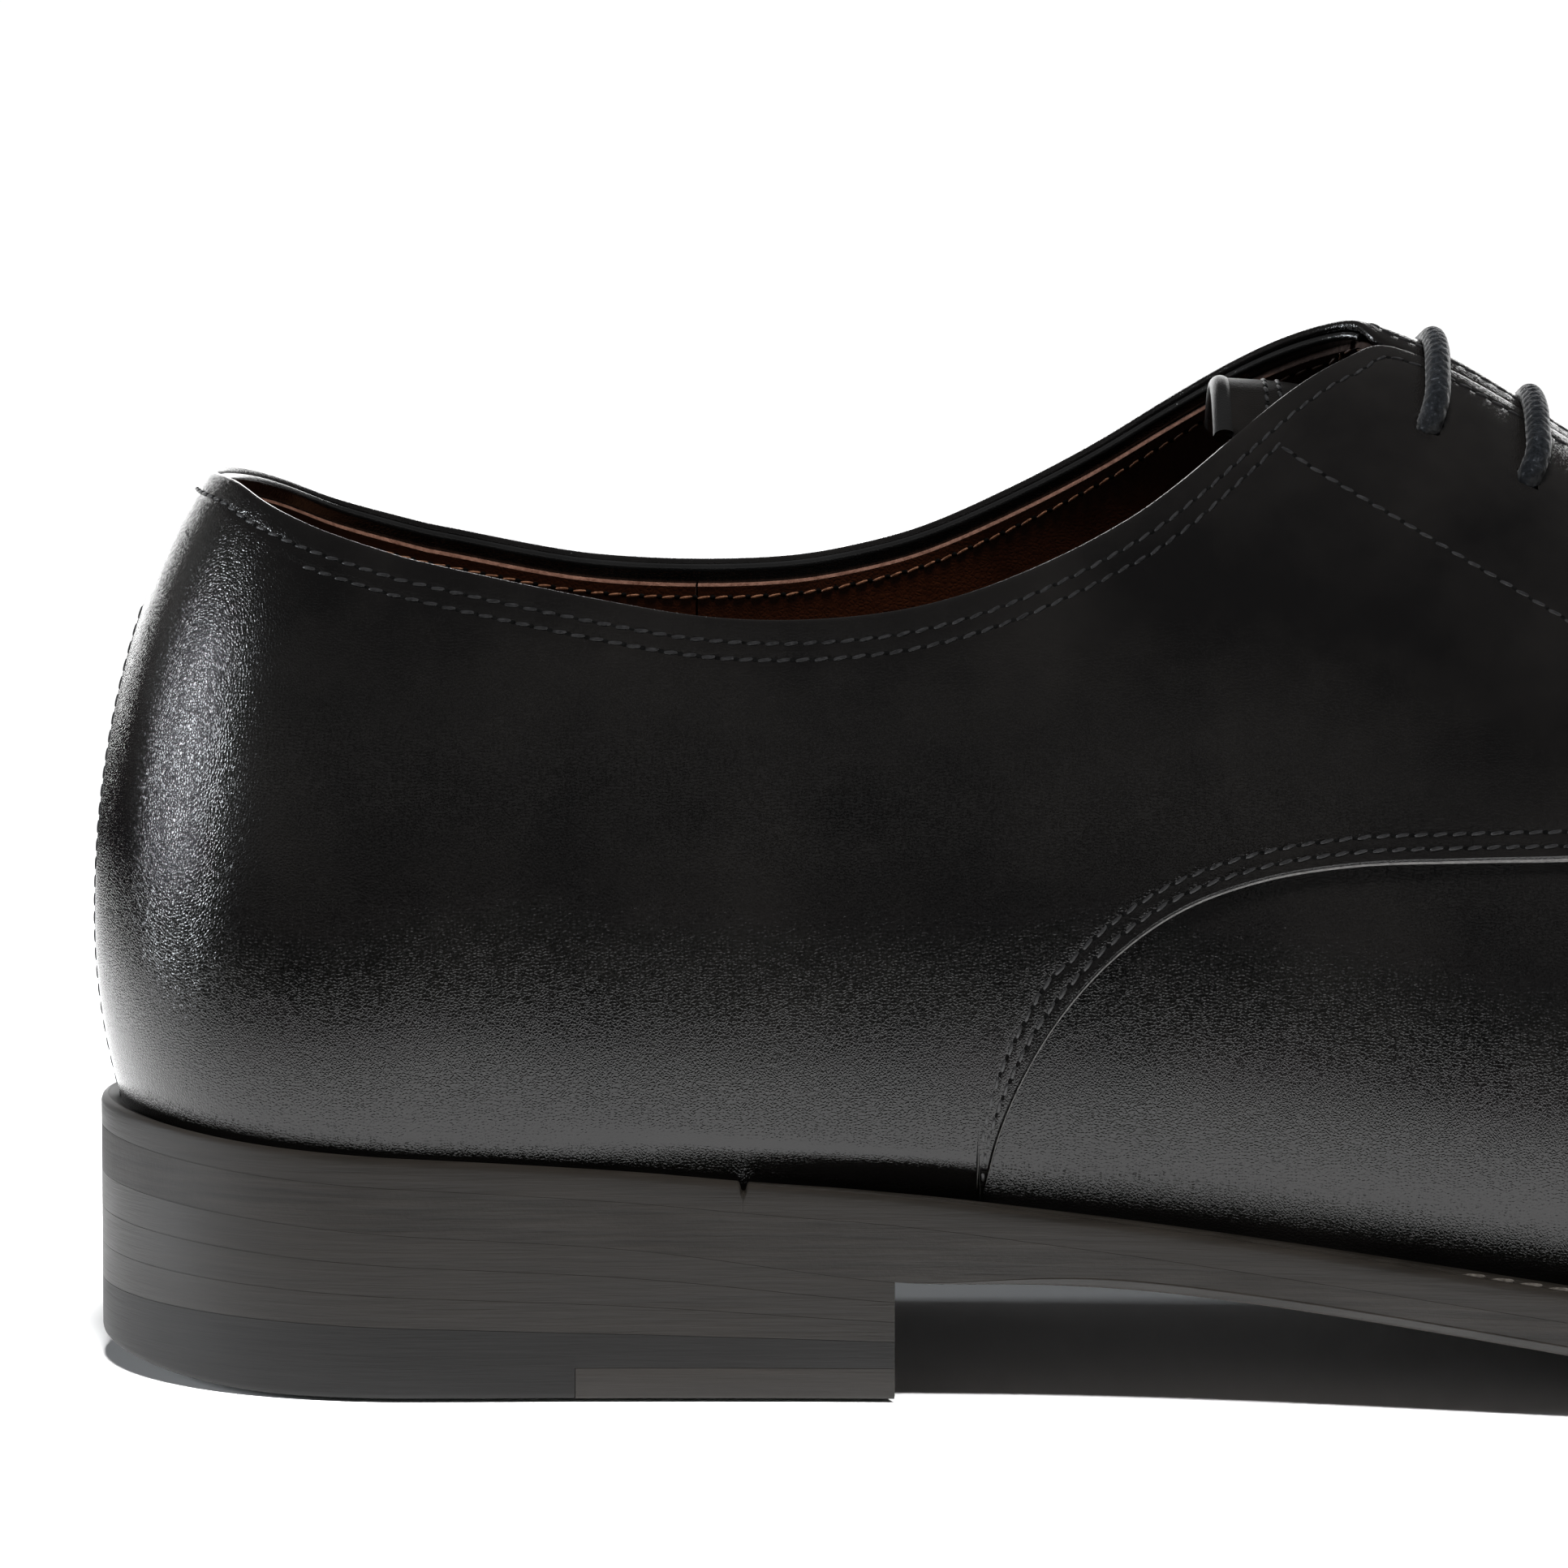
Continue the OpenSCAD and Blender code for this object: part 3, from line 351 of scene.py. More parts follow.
def leather(name, patch, d_out, d_in, mats, relief=None, rolls=(5, 5), bulge=(1.0, 1.0), holes=()):
    """A sheet of leather over a patch, with rolled edges. relief adds to the outer offset."""
    s, w, side = patch.s, patch.w, patch.side
    n, m = s.shape
    base = point(column(side, s), w)
    nor = normals(side, s, w)
    d_out = np.full(s.shape, d_out) + (0 if relief is None else relief(patch))
    d_in = np.full(s.shape, d_in)
    outer = base + nor * d_out[..., None]
    inner = base + nor * d_in[..., None]

    def roll(j, j_in, count, size):
        e = edge_dirs(base[:, j], nor[:, j], base[:, j_in])
        mid, half = (d_out[:, j] + d_in[:, j]) / 2, (d_out[:, j] - d_in[:, j]) / 2
        th = np.linspace(0, np.pi, count + 2)[1:-1]
        off = mid[:, None] + half[:, None] * np.cos(th)
        out = half[:, None] * np.sin(th) * size
        return base[:, j, None] + nor[:, j, None] * off[..., None] + e[:, None] * out[..., None]

    top = roll(m - 1, m - 2, rolls[1], bulge[1])
    bottom = roll(0, 1, rolls[0], bulge[0])[:, ::-1]
    ring = np.concatenate([outer, top, inner[:, ::-1], bottom], 1)
    cols = ring.shape[1]
    verts = ring.reshape(-1, 3)
    faces = grid_faces(n, cols, wrap=True)
    if holes:
        mid = verts[faces].mean(1)
        keep = np.ones(len(faces), bool)
        for c, axis, radius in holes:
            v = mid - c
            h = v @ axis
            keep &= (np.linalg.norm(v - h[:, None] * axis, axis=1) > radius) | (np.abs(h) > 5)
        faces = faces[keep]
    faces = list(faces)
    for o in (0, (n - 1) * cols):
        inner_at = lambda j: o + m + rolls[1] + (m - 1 - j)
        faces += [(o + j, o + j + 1, inner_at(j + 1), inner_at(j)) for j in range(m - 1)]
        faces.append([o + m - 1] + [o + m + k for k in range(rolls[1])] + [inner_at(m - 1)])
        faces.append([inner_at(0)] + [o + 2 * m + rolls[1] + k for k in range(rolls[0])] + [o])
    return new_mesh(name, verts, faces, mats)


def capsule():
    """Unit capsule along x from -0.5 to 0.5, radius 1 in y and z."""
    segments, rows = 8, 7
    a = 2 * np.pi * np.arange(segments) / segments
    pts = [(-0.5 * np.cos(t), np.sin(t) ** 0.6 * np.cos(b), np.sin(t) ** 0.6 * np.sin(b))
           for t in np.linspace(0, np.pi, rows) for b in a]
    return np.array(pts), grid_faces(rows, segments, wrap=True)


CAP_V, CAP_F = capsule()


def stitch_marks(lines, pitch, length, radius, sink, slant=0.16, hole=0.3):
    """Thread loops along lines of (points, normals), and between them the needle holes as dark flat marks
    that paint the shade inside each hole.
    """
    verts, faces, kinds = [], [], []
    for p, nor in lines:
        a = arclength(p)
        near = lambda q, at: np.array([np.interp(at, a, q[:, i]) for i in range(3)])
        for k in range(2 * int((a[-1] - pitch * 0.5) / pitch) + 1):
            at = (k + 1) / 2 * pitch
            if at > a[-1] - 0.2:
                continue
            c, n = near(p, at), unit(near(nor, at))
            t = near(p, min(at + 0.5, a[-1])) - near(p, max(at - 0.5, 0))
            t = unit(t - n * (t @ n))
            b = np.cross(n, t)
            if k % 2:
                # odd marks are painted shade: flat dark ellipses that stand for the inside of each needle
                # hole
                u, v, size, lift = t, b, (hole * 2, hole, 0.09), -0.03
            else:
                u = t * math.cos(slant) + b * math.sin(slant)
                v, size, lift = np.cross(n, u), (length, radius, radius * 0.85), sink
            faces.append(CAP_F + len(verts) * len(CAP_V))
            verts.append(c + n * lift + CAP_V @ np.array([u * size[0], v * size[1], n * size[2]]))
            kinds.append(np.full(len(CAP_F), k % 2))
    return np.concatenate(verts), np.concatenate(faces), np.concatenate(kinds)


def stitches(name, lines, mats, pitch=STITCH, length=1.45, radius=0.2, sink=0.02, **more):
    v, f, k = stitch_marks(lines, pitch, length, radius, sink, **more)
    return new_mesh(name, v, f, mats, face_mats=k, fix=False)


def tube(name, path, radius, mats, around=24, up=(0.3, 1, 0.2), relief=None):
    """A round tube along a path, with a frame carried on from ring to ring."""
    t = unit(np.gradient(path, axis=0))
    u = np.empty_like(path)
    v = np.array(up, float)
    for i in range(len(path)):
        u[i] = v = unit(v - t[i] * (v @ t[i]))
    b = np.cross(t, u)
    a = 2 * np.pi * np.arange(around) / around
    r = np.full((len(path), around), radius)
    if relief is not None:
        r = r + relief(arclength(path)[:, None], a[None, :])
    ring = path[:, None] + r[..., None] * (u[:, None] * np.cos(a)[None, :, None]
                                           + b[:, None] * np.sin(a)[None, :, None])
    faces = list(grid_faces(len(path), around, wrap=True))
    faces += [range(start, start + around) for start in (0, (len(path) - 1) * around)]
    return new_mesh(name, ring.reshape(-1, 3), faces, mats)


def spline(points, spacing=0.4, rounds=2):
    """A dense, smooth path through points."""
    p = np.array(points, float)
    a = arclength(p)
    keep = np.concatenate([[True], np.diff(a) > 1e-6])
    p, a = p[keep], a[keep]
    m = np.gradient(p, a, axis=0)
    t = np.arange(0, a[-1], spacing)
    i = np.clip(np.searchsorted(a, t, side="right") - 1, 0, len(a) - 2)
    h = (a[i + 1] - a[i])[:, None]
    q = hermite((t - a[i])[:, None] / h, h, p[i], m[i], p[i + 1], m[i + 1])
    for _ in range(rounds):
        q = np.stack([soften(q[:, k], 3) for k in range(3)], 1)
    return q


# ---- outlines and slabs of the sole ----

def outline(side, inset=0.0, use_ext=False):
    """One side's points from the heel's rear to the toe; use_ext follows the upper's foot inside."""
    end = SOLE_LEN - inset - (TOE_EXT if use_ext else 0)
    a = np.linspace(0, np.pi / 2, 40, endpoint=False)
    r = SEAT - inset - (float(ext[side](SEAT)) if use_ext else 0.0)
    fan = np.stack([SEAT - r * np.cos(a), side * r * np.sin(a)], 1)
    xs = np.concatenate([np.linspace(SEAT, WIDE[LAT], 150, endpoint=False),
                         WIDE[LAT] + (end - WIDE[LAT]) * np.sin(np.linspace(0, np.pi / 2, 90))])
    ins = inset + (ext[side](xs) if use_ext else 0)
    return np.concatenate([fan, np.stack([xs, plan_y(side, xs, ins, end)], 1)])


def cut(p, x0, x1):
    """The part of an outline between two places along the shoe."""
    keep = p[(p[:, 0] > x0 + 0.02) & (p[:, 0] < x1 - 0.02)]
    ends = [[x, np.interp(x, p[:, 0], p[:, 1])] for x in (x0, x1)]
    first = ends[0] if x0 > p[0, 0] else p[0]
    last = ends[1] if x1 < p[-1, 0] else p[-1]
    return np.concatenate([[first], keep, [last]])


def out_dirs(p, side):
    """Directions square to an outline, pointing out."""
    t = np.gradient(p, axis=0)
    return unit(np.stack([t[:, 1], -t[:, 0]], 1) * -side)


def slab(name, lat, med, low, high, profile, mats, across=12, warp=None, ends=(False, False), fade=None):
    """A layer between two heights. profile is a list of (inset, share of the height, rise).

    ends says which of the two ends is cut square; fade(x) scales the shaping of the lower edge."""
    nl, nm = out_dirs(lat, LAT), out_dirs(med, MED)
    for i, way in ((0, -1), (-1, 1)):
        if not ends[i]:
            nl[i] = nm[i] = (way, 0)
    n, k = len(lat), len(profile)
    t = np.linspace(0, 1, across + 2)[1:-1]

    def rim(p, out):
        return [p - out * q[0] * (fade(p[0]) if fade and q[1] == 0 else 1.0) for q in profile]

    sections = []
    for i in range(n):
        left, right = rim(lat[i], nl[i]), rim(med[i], nm[i])
        low_row = [left[0] + (right[0] - left[0]) * u for u in t]
        high_row = [right[-1] + (left[-1] - right[-1]) * u for u in t]
        sections.append(left[::-1] + low_row + right + high_row)
    xy = np.array(sections)
    f, dz = (np.array([q[c] for q in profile[::-1]] + [profile[0][c]] * across + [q[c] for q in profile]
                      + [profile[-1][c]] * across) for c in (1, 2))
    x, y = xy[..., 0], xy[..., 1]
    if warp is not None:
        x = warp(x, y)
    if fade is not None:
        dz = dz[None, :] * np.where(f[None, :] == 0, fade(x), 1)
    z = low(x) + (high(x) - low(x)) * f[None, :] + dz
    cols = xy.shape[1]
    faces = list(grid_faces(n, cols, wrap=True))
    for end, o in zip(ends, (0, (n - 1) * cols)):
        lows = [o + k - 1 + j for j in range(across + 2)]
        highs = [o] + [o + cols - 1 - j for j in range(across)] + [o + 2 * k + across - 1]
        if end:
            faces += [(lows[j], lows[j + 1], highs[j + 1], highs[j]) for j in range(across + 1)]
            faces += [range(o, o + k), range(o + k + across, o + 2 * k + across)]
    return new_mesh(name, np.stack([x, y, z], -1).reshape(-1, 3), faces, mats)


def breast_x(y):
    """The heel's hollow front."""
    radius = 110.0
    return BREAST + radius - 4 - np.sqrt(radius**2 - np.clip(y, -40, 40) ** 2)


def heel_warp(x, y):
    start = 60.0
    end = float(breast_x(SEAT - 1))
    return np.where(x > start, start + (x - start) * (breast_x(y) - start) / (end - start), x)


def low_z(x):
    return np.maximum(0, sole_low(x))


def tread_z(x):
    return np.where(x < BEVEL_X, BEVEL_Z * (1 - np.clip(x, 0, None) / BEVEL_X) ** 2, 0)


def top_lift_z(x):
    return TOP_LIFT + (TOP_LIFT_FRONT - TOP_LIFT) * np.clip(x, 0, None) / BREAST


def lift_z(x, k):
    return top_lift_z(x) + (low_z(x) - top_lift_z(x)) * k / LIFTS


# ---- materials ----

class Nodes:
    """A small helper that builds a procedural material."""

    def __init__(self, name):
        self.mat = bpy.data.materials.new(name)
        self.mat.use_nodes = True
        self.tree = self.mat.node_tree
        self.tree.nodes.clear()
        self.out = self.tree.nodes.new("ShaderNodeOutputMaterial")
        self.shader = self.tree.nodes.new("ShaderNodeBsdfPrincipled")
        self.tree.links.new(self.shader.outputs[0], self.out.inputs[0])
        self.coord = self.tree.nodes.new("ShaderNodeTexCoord").outputs["Object"]

    def put(self, socket, value):
        if isinstance(value, bpy.types.NodeSocket):
            self.tree.links.new(value, socket)
        else:
            socket.default_value = value

    def add(self, kind, inputs=None, **props):
        node = self.tree.nodes.new("ShaderNode" + kind)
        for key, value in props.items():
            setattr(node, key, value)
        for key, value in (inputs or {}).items():
            self.put(node.inputs[key], value)
        return node

    def set(self, **values):
        for key, value in values.items():
            self.put(self.shader.inputs[key.replace("_", " ")], value)

    def noise(self, size, detail=3.0, rough=0.5, stretch=(1, 1, 1)):
        """Noise with features of that size in metres."""
        c = self.add("Mapping", {"Vector": self.coord, "Scale": tuple(1.0 / s for s in stretch)}).outputs[0]
        return self.add("TexNoise", {"Vector": c, "Scale": 1.0 / size, "Detail": detail,
                                     "Roughness": rough}).outputs[0]

    def cells(self, size, feature="F1", coord=None):
        return self.add("TexVoronoi", {"Vector": coord or self.coord, "Scale": 1.0 / size},
                        feature=feature).outputs["Distance"]

    def ramp(self, fac, *stops):
        node = self.add("ValToRGB", {"Fac": fac})
        e = node.color_ramp.elements
        while len(e) < len(stops):
            e.new(0.5)
        for i, (pos, value) in enumerate(stops):
            e[i].position = pos
            e[i].color = (*value, 1) if isinstance(value, tuple) else (value, value, value, 1)
        return node.outputs[0]

    def span(self, value, a, b, c, d):
        return self.add("MapRange", {"Value": value, "From Min": a, "From Max": b, "To Min": c,
                                     "To Max": d}).outputs[0]

    def mix(self, fac, a, b):
        return self.add("Mix", {0: fac, 6: a, 7: b}, data_type="RGBA").outputs[2]

    def math(self, op, a, b):
        return self.add("Math", {0: a, 1: b}, operation=op).outputs[0]

    def bump(self, height, distance, strength=1.0, normal=None):
        inputs = {"Height": height, "Distance": distance, "Strength": strength}
        if normal is not None:
            inputs["Normal"] = normal
        return self.add("Bump", inputs).outputs[0]


def calf(name, dark, light, rough=(0.13, 0.21), coat=0.0, shine=0.36):
    """Smooth box calf: a fine cell grain, faint long creases and an uneven polish."""
    m = Nodes(name)
    m.set(Base_Color=m.ramp(m.noise(0.018, 4, 0.6), (0.35, dark), (0.7, light)))
    m.set(Roughness=m.span(m.noise(0.03, 3, 0.55), 0.3, 0.7, *rough))
    blur = m.add("TexNoise", {"Vector": m.coord, "Scale": 1500.0}).outputs[1]
    soft = m.add("VectorMath", {0: blur, 1: (0.00018,) * 3}, operation="MULTIPLY").outputs[0]
    shifted = m.add("VectorMath", {0: m.coord, 1: soft}, operation="ADD").outputs[0]
    cell = m.span(m.cells(0.00032, "DISTANCE_TO_EDGE", shifted), 0.0, 0.28, 0.0, 1.0)
    creases = m.bump(m.noise(0.004, 3, 0.6), 0.00006, 0.3, m.bump(cell, 0.00003, 0.55))
    m.set(Normal=m.bump(m.noise(0.00016, 2, 0.5), 0.00002, 0.5, creases))
    m.set(Coat_Weight=coat, Coat_Roughness=0.14, Specular_IOR_Level=shine, IOR=1.5)
    return m.mat


def lining_leather(name, dark, light, rough=(0.5, 0.7)):
    m = Nodes(name)
    m.set(Base_Color=m.ramp(m.noise(0.012, 5, 0.65), (0.3, dark), (0.72, light)))
    m.set(Roughness=m.span(m.noise(0.006, 3), 0.3, 0.7, *rough))
    cell = m.span(m.cells(0.0005, "DISTANCE_TO_EDGE"), 0.0, 0.3, 0.0, 1.0)
    m.set(Normal=m.bump(m.noise(0.0016, 4, 0.6), 0.00012, 0.4, m.bump(cell, 0.00005, 0.5)))
    return m.mat


def fibrous(name, dark, light, tone, rough, relief, distance, strength=1.0, shine=0.5):
    """A plain mottled surface; tone and relief are noise settings."""
    m = Nodes(name)
    m.set(Base_Color=m.ramp(m.noise(*tone), (0.3, dark), (0.7, light)), Roughness=rough)
    m.set(Normal=m.bump(m.noise(*relief), distance, strength), Specular_IOR_Level=shine)
    return m.mat


def raw_edge(name, dark, light):
    """Cut, fibrous edge of leather."""
    return fibrous(name, dark, light, (0.0007, 5, 0.7), 0.85, (0.00035, 4, 0.7), 0.0002, 0.8)


def thread(name, dark, light):
    return fibrous(name, dark, light, (0.0004, 2), 0.42, (0.00018, 2), 0.00006, 0.6)


def brushed_edge(name, dark, light, rough=(0.48, 0.66), coat=0.0, shine=0.3):
    """Stacked leather or rubber edge: brush marks run level along the edge."""
    m = Nodes(name)
    streak = m.noise(0.0011, 5, 0.65, stretch=(14, 14, 0.55))
    patch = m.noise(0.02, 3, 0.6, stretch=(2.2, 2.2, 0.8))
    tone = m.math("MULTIPLY", m.math("ADD", streak, patch), 0.5)
    m.set(Base_Color=m.ramp(tone, (0.34, dark), (0.66, light)))
    m.set(Roughness=m.span(patch, 0.3, 0.7, *rough))
    fine = m.noise(0.0003, 3, 0.6, stretch=(20, 20, 0.6))
    b = m.bump(streak, 0.00018, 0.4, m.bump(fine, 0.00005, 0.5))
    m.set(Normal=b, Specular_IOR_Level=shine)
    if coat:
        m.set(Coat_Weight=coat, Coat_Roughness=0.3)
    return m.mat


def sole_bottom(name):
    """Outsole: dark dressed edge and a vegetable tanned tread, told apart by slope."""
    m = Nodes(name)
    streak = m.noise(0.0011, 5, 0.65, stretch=(14, 14, 0.55))
    edge = m.ramp(streak, (0.34, DRESSED[0]), (0.68, DRESSED[1]))
    tan = m.ramp(m.noise(0.016, 6, 0.65), (0.3, (0.011, 0.0085, 0.007)), (0.7, (0.022, 0.0175, 0.0145)))
    fibre = m.noise(0.0006, 4, 0.7)
    tan = m.mix(0.35, tan, m.ramp(fibre, (0.35, (0.008, 0.0062, 0.005)), (0.65, (0.032, 0.0255, 0.021))))
    normal = m.add("NewGeometry").outputs["Normal"]
    down = m.add("SeparateXYZ", {0: normal}).outputs[2]
    m.set(Base_Color=m.mix(m.span(down, -0.8, -0.9, 0.0, 1.0), edge, tan))
    m.set(Roughness=m.span(m.noise(0.02, 3), 0.3, 0.7, 0.5, 0.68), Specular_IOR_Level=0.3)
    m.set(Normal=m.bump(streak, 0.00018, 0.4, m.bump(fibre, 0.00006, 0.5)))
    return m.mat


def cotton(name):
    """Waxed, braided cotton lace."""
    m = Nodes(name)
    fleck = m.noise(0.0005, 3, 0.7)
    m.set(Base_Color=m.ramp(fleck, (0.36, (0.0015, 0.0018, 0.0022)), (0.6, (0.005, 0.0057, 0.0068)),
                            (0.8, (0.035, 0.038, 0.043))), Specular_IOR_Level=0.25)
    m.set(Roughness=m.span(fleck, 0.3, 0.7, 0.62, 0.42))
    m.set(Normal=m.bump(m.noise(0.00022, 2, 0.6), 0.00009, 0.8))
    m.set(Sheen_Weight=0.08, Sheen_Roughness=0.4)
    return m.mat


def cork_grain(name):
    m = Nodes(name)
    grit = m.cells(0.0022)
    m.set(Base_Color=m.ramp(grit, (0.1, (0.16, 0.08, 0.035)), (0.6, (0.5, 0.31, 0.16))), Roughness=0.85)
    m.set(Normal=m.bump(grit, 0.0005, 0.6))
    return m.mat


def metal(name, color, rough, size=0.0008):
    m = Nodes(name)
    scratch = m.noise(size, 4, 0.7, stretch=(6, 1, 1))
    m.set(Base_Color=m.ramp(scratch, (0.3, tuple(c * 0.75 for c in color)), (0.7, color)), Metallic=1.0)
    m.set(Roughness=m.span(scratch, 0.3, 0.7, rough, rough + 0.18))
    m.set(Normal=m.bump(scratch, 0.00004, 0.4))
    return m.mat


def fabric(name, dark, light, pitch=0.0007):
    m = Nodes(name)
    wave = [m.add("TexWave", {"Vector": m.coord, "Scale": 1.0 / (pitch * 6.28), "Distortion": 0.4},
                  bands_direction=axis).outputs[1] for axis in ("X", "Z")]
    weave = m.math("MULTIPLY", wave[0], wave[1])
    m.set(Base_Color=m.ramp(weave, (0.1, dark), (0.7, light)), Roughness=0.9)
    m.set(Normal=m.bump(weave, 0.0002, 0.6))
    return m.mat


# dark and light tone of the surfaces that several materials share
UPPER_TONE = ((0.0012, 0.0011, 0.0011), (0.0034, 0.0031, 0.0029))
BINDING_TONE = ((0.0016, 0.0016, 0.0016), (0.004, 0.004, 0.004))
DRESSED = ((0.004, 0.0034, 0.0028), (0.0105, 0.009, 0.0076))
BLACK = calf("upper_calf", *UPPER_TONE)
BINDING = calf("binding_calf", *BINDING_TONE, (0.14, 0.24), coat=0.5)
# partly painted highlight: a raw cut edge's grey, set light so the key lamp shows a bright line along the
# quarter's lapped seam
CUT_AND_HIGHLIGHT = raw_edge("cut_edge_and_highlight", (0.07, 0.068, 0.066), (0.19, 0.185, 0.18))
LINE = lining_leather("lining_leather", (0.0095, 0.0022, 0.0006), (0.026, 0.0068, 0.0022))
LINE_EDGE = raw_edge("lining_raw_edge", (0.024, 0.0105, 0.0068), (0.075, 0.04, 0.029))
SOCK = lining_leather("sock_leather", (0.05, 0.02, 0.01), (0.10, 0.045, 0.024))
TONGUE_LINE = lining_leather("tongue_lining_leather", (0.05, 0.018, 0.009), (0.1, 0.04, 0.02))
TONGUE_CALF = calf("tongue_calf", *UPPER_TONE, (0.4, 0.5), shine=0.12)
TONGUE_BINDING = calf("tongue_binding_calf", *BINDING_TONE, (0.32, 0.42), shine=0.2)
HEEL = brushed_edge("heel_stack", *DRESSED)
RUBBER = brushed_edge("heel_rubber", (0.0028, 0.0027, 0.0026), (0.0055, 0.0052, 0.005), (0.6, 0.75))
INSERT = brushed_edge("insert_leather", (0.0055, 0.0046, 0.0038), (0.0125, 0.0105, 0.0088), (0.5, 0.65))
WELT = brushed_edge("welt_leather", *DRESSED, (0.26, 0.36), coat=0.5, shine=0.5)
SOLE = sole_bottom("sole_leather")
THREAD = thread("upper_thread", (0.003, 0.003, 0.0032), (0.012, 0.012, 0.0125))
WELT_THREAD = thread("welt_thread", (0.016, 0.014, 0.012), (0.05, 0.045, 0.04))
BROWN_THREAD = thread("lining_thread", (0.035, 0.015, 0.008), (0.1, 0.048, 0.028))
# painted shade: a dark, dull material for the marks that stand for the inside of the needle holes
HOLE_SHADE = fibrous("needle_hole_shade", (0.001,) * 3, (0.003,) * 3, (0.0005, 2), 0.9, (0.0003, 2), 0.00002, shine=0.05)
LACE = cotton("lace_cotton")
CORK = cork_grain("cork")
STEEL = metal("shank_steel", (0.6, 0.61, 0.62), 0.3)
BRASS = metal("nail_brass", (0.72, 0.6, 0.38), 0.28)
FABRIC = fabric("stay_fabric", (0.02, 0.02, 0.02), (0.09, 0.09, 0.09))
PUFF = fabric("puff_fabric", (0.42, 0.38, 0.3), (0.72, 0.68, 0.58))
BOARD = lining_leather("insole_board", (0.30, 0.18, 0.10), (0.48, 0.32, 0.2))
COUNTER = raw_edge("counter_board", (0.22, 0.14, 0.08), (0.42, 0.30, 0.2))


def finish_piece(obj, slot, *nodes, body="shoe"):
    """Puts a piece on its body and hides the CAD nodes it replaces; slot is not used."""
    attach(obj, body)
    if nodes:
        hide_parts(*nodes)


def dress(node, mat):
    """A carried-over CAD node gets a procedural material."""
    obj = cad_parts[node]
    obj.data.materials.clear()
    obj.data.materials.append(mat)


# ---- paths on the upper ----

def side_path(table, spacing, rounds):
    """x and z along a smooth path through a table of [x, z]."""
    p = np.array(table, float)
    return spline(np.stack([p[:, 0], np.zeros(len(p)), p[:, 1]], 1), spacing, rounds)[:, [0, 2]].T


def seam_path(side):
    """Edge of the quarter on the vamp, from the feather line to the throat."""
    x, z = side_path(SEAM, 0.3, 2)
    keep = x < THROAT - 0.8
    s = x[keep] - SEAT
    w = share(column(side, s), z[keep])
    return s, np.maximum(np.minimum(w, share_r(side, s, facing_r(side) + 0.02)), 0)


def topline_path(side):
    """Topline and facing edge, from the back seam to the throat, with a rounded corner."""
    corner = FACING_TOP - SEAT
    edge = lambda s: share_r(side, s, facing_r(side))
    s = np.concatenate([np.linspace(BACK, 0, 200, endpoint=False), np.linspace(0, corner, 500)])
    w = share(column(side, s), top_z[side](station_x(s)))
    w = np.where(s > 60, np.minimum(w, edge(s)), w)
    down = np.linspace(corner + 0.3, THROAT - SEAT - 0.9, 300)
    s, w = resample(side, np.concatenate([s, down]), np.concatenate([w, edge(down)]), 900)
    near = np.exp(-((s - corner) / 9.0) ** 2)
    return s + (soften(s, 9) - s) * near, w + (soften(w, 9) - w) * near


def lap(side, s, w):
    """How far the quarter stands out where it lies on the vamp."""
    p = point(column(side, s), w)
    best = np.full(p.shape[:-1], 1e9)
    for x, z in side_path(SEAM, 1.0, 1).T:
        best = np.minimum(best, np.hypot(p[..., 0] - x, p[..., 2] - z))
    foot = ramp(1, FOOT_Z, p[..., 2] - welt_z(p[..., 0]))
    return LAP_RISE * (1 - ramp(LAP_W - 2, LAP_W + LAP_FADE, best)) * foot


ROWS_HIGH = (2.05, 3.75)
ROWS_SEAM = (1.0, 2.4)
ROW_BACK = 1.5


def groove(dist, u, at):
    """Stitched furrow at a distance from an edge, deepest at the needle holes."""
    depth, width = 0.11, 0.32
    wave = 0.72 - 0.28 * np.cos(2 * np.pi * u / STITCH)
    return -depth * wave * np.exp(-((dist - at) / width) ** 2)


def eyelet_x(k):
    return EYELET_X0 + EYELET_PITCH * k


def eyelet_r(side, k):
    return facing_r(side) + EYELET_IN + EYELET_WIDEN * k**0.6


def eyelet_holes(side):
    """Centre, axis and radius of each eyelet."""
    holes = []
    for k in range(EYELETS):
        s = np.array([eyelet_x(k) - SEAT])
        p, n = on_last(side, s, share_r(side, s, eyelet_r(side, k)), OUT)
        holes.append((p[0], n[0], EYELET_D / 2 - 0.15))
    return holes


def quarter_patch(side):
    fs = np.linspace(BACK, SEAM_X0 - SEAT, 400)
    ss, sw = seam_path(side)
    n = 640
    low = resample(side, np.concatenate([fs[:-1], ss]), np.concatenate([np.zeros(len(fs) - 1), sw]), n)
    high = resample(side, *topline_path(side), n)
    fine = [0, 0.35, 0.7, 0.85, 1.0, 1.15, 1.4, 1.9, 2.1, 2.25, 2.4, 2.55, 2.8, 3.4, 4.4]
    tops = [0, 0.3, 0.8, 1.4, 1.75, 1.9, 2.05, 2.2, 2.4, 2.9, 3.4, 3.6, 3.75, 3.9, 4.2, 5.0, 6.2]
    return Patch(side, low, high, fine, tops, 46)


def quarter_relief(patch):
    """The rise over the vamp and the stitched furrows."""
    x, u, v = station_x(patch.s), patch.high_u[:, None], patch.low_u[:, None]
    sewn = ramp(91.5, 92.5, x[:, :1]) * (v > 0)
    d = lap(patch.side, patch.s, patch.w) + groove(patch.high_dist, u, ROWS_HIGH[0])
    d += groove(patch.high_dist, u, ROWS_HIGH[1]) * ramp(14, 20, x) * (1 - ramp(121, 124, x))
    for row in ROWS_SEAM:
        d += groove(patch.low_dist, v, row) * sewn
    return d


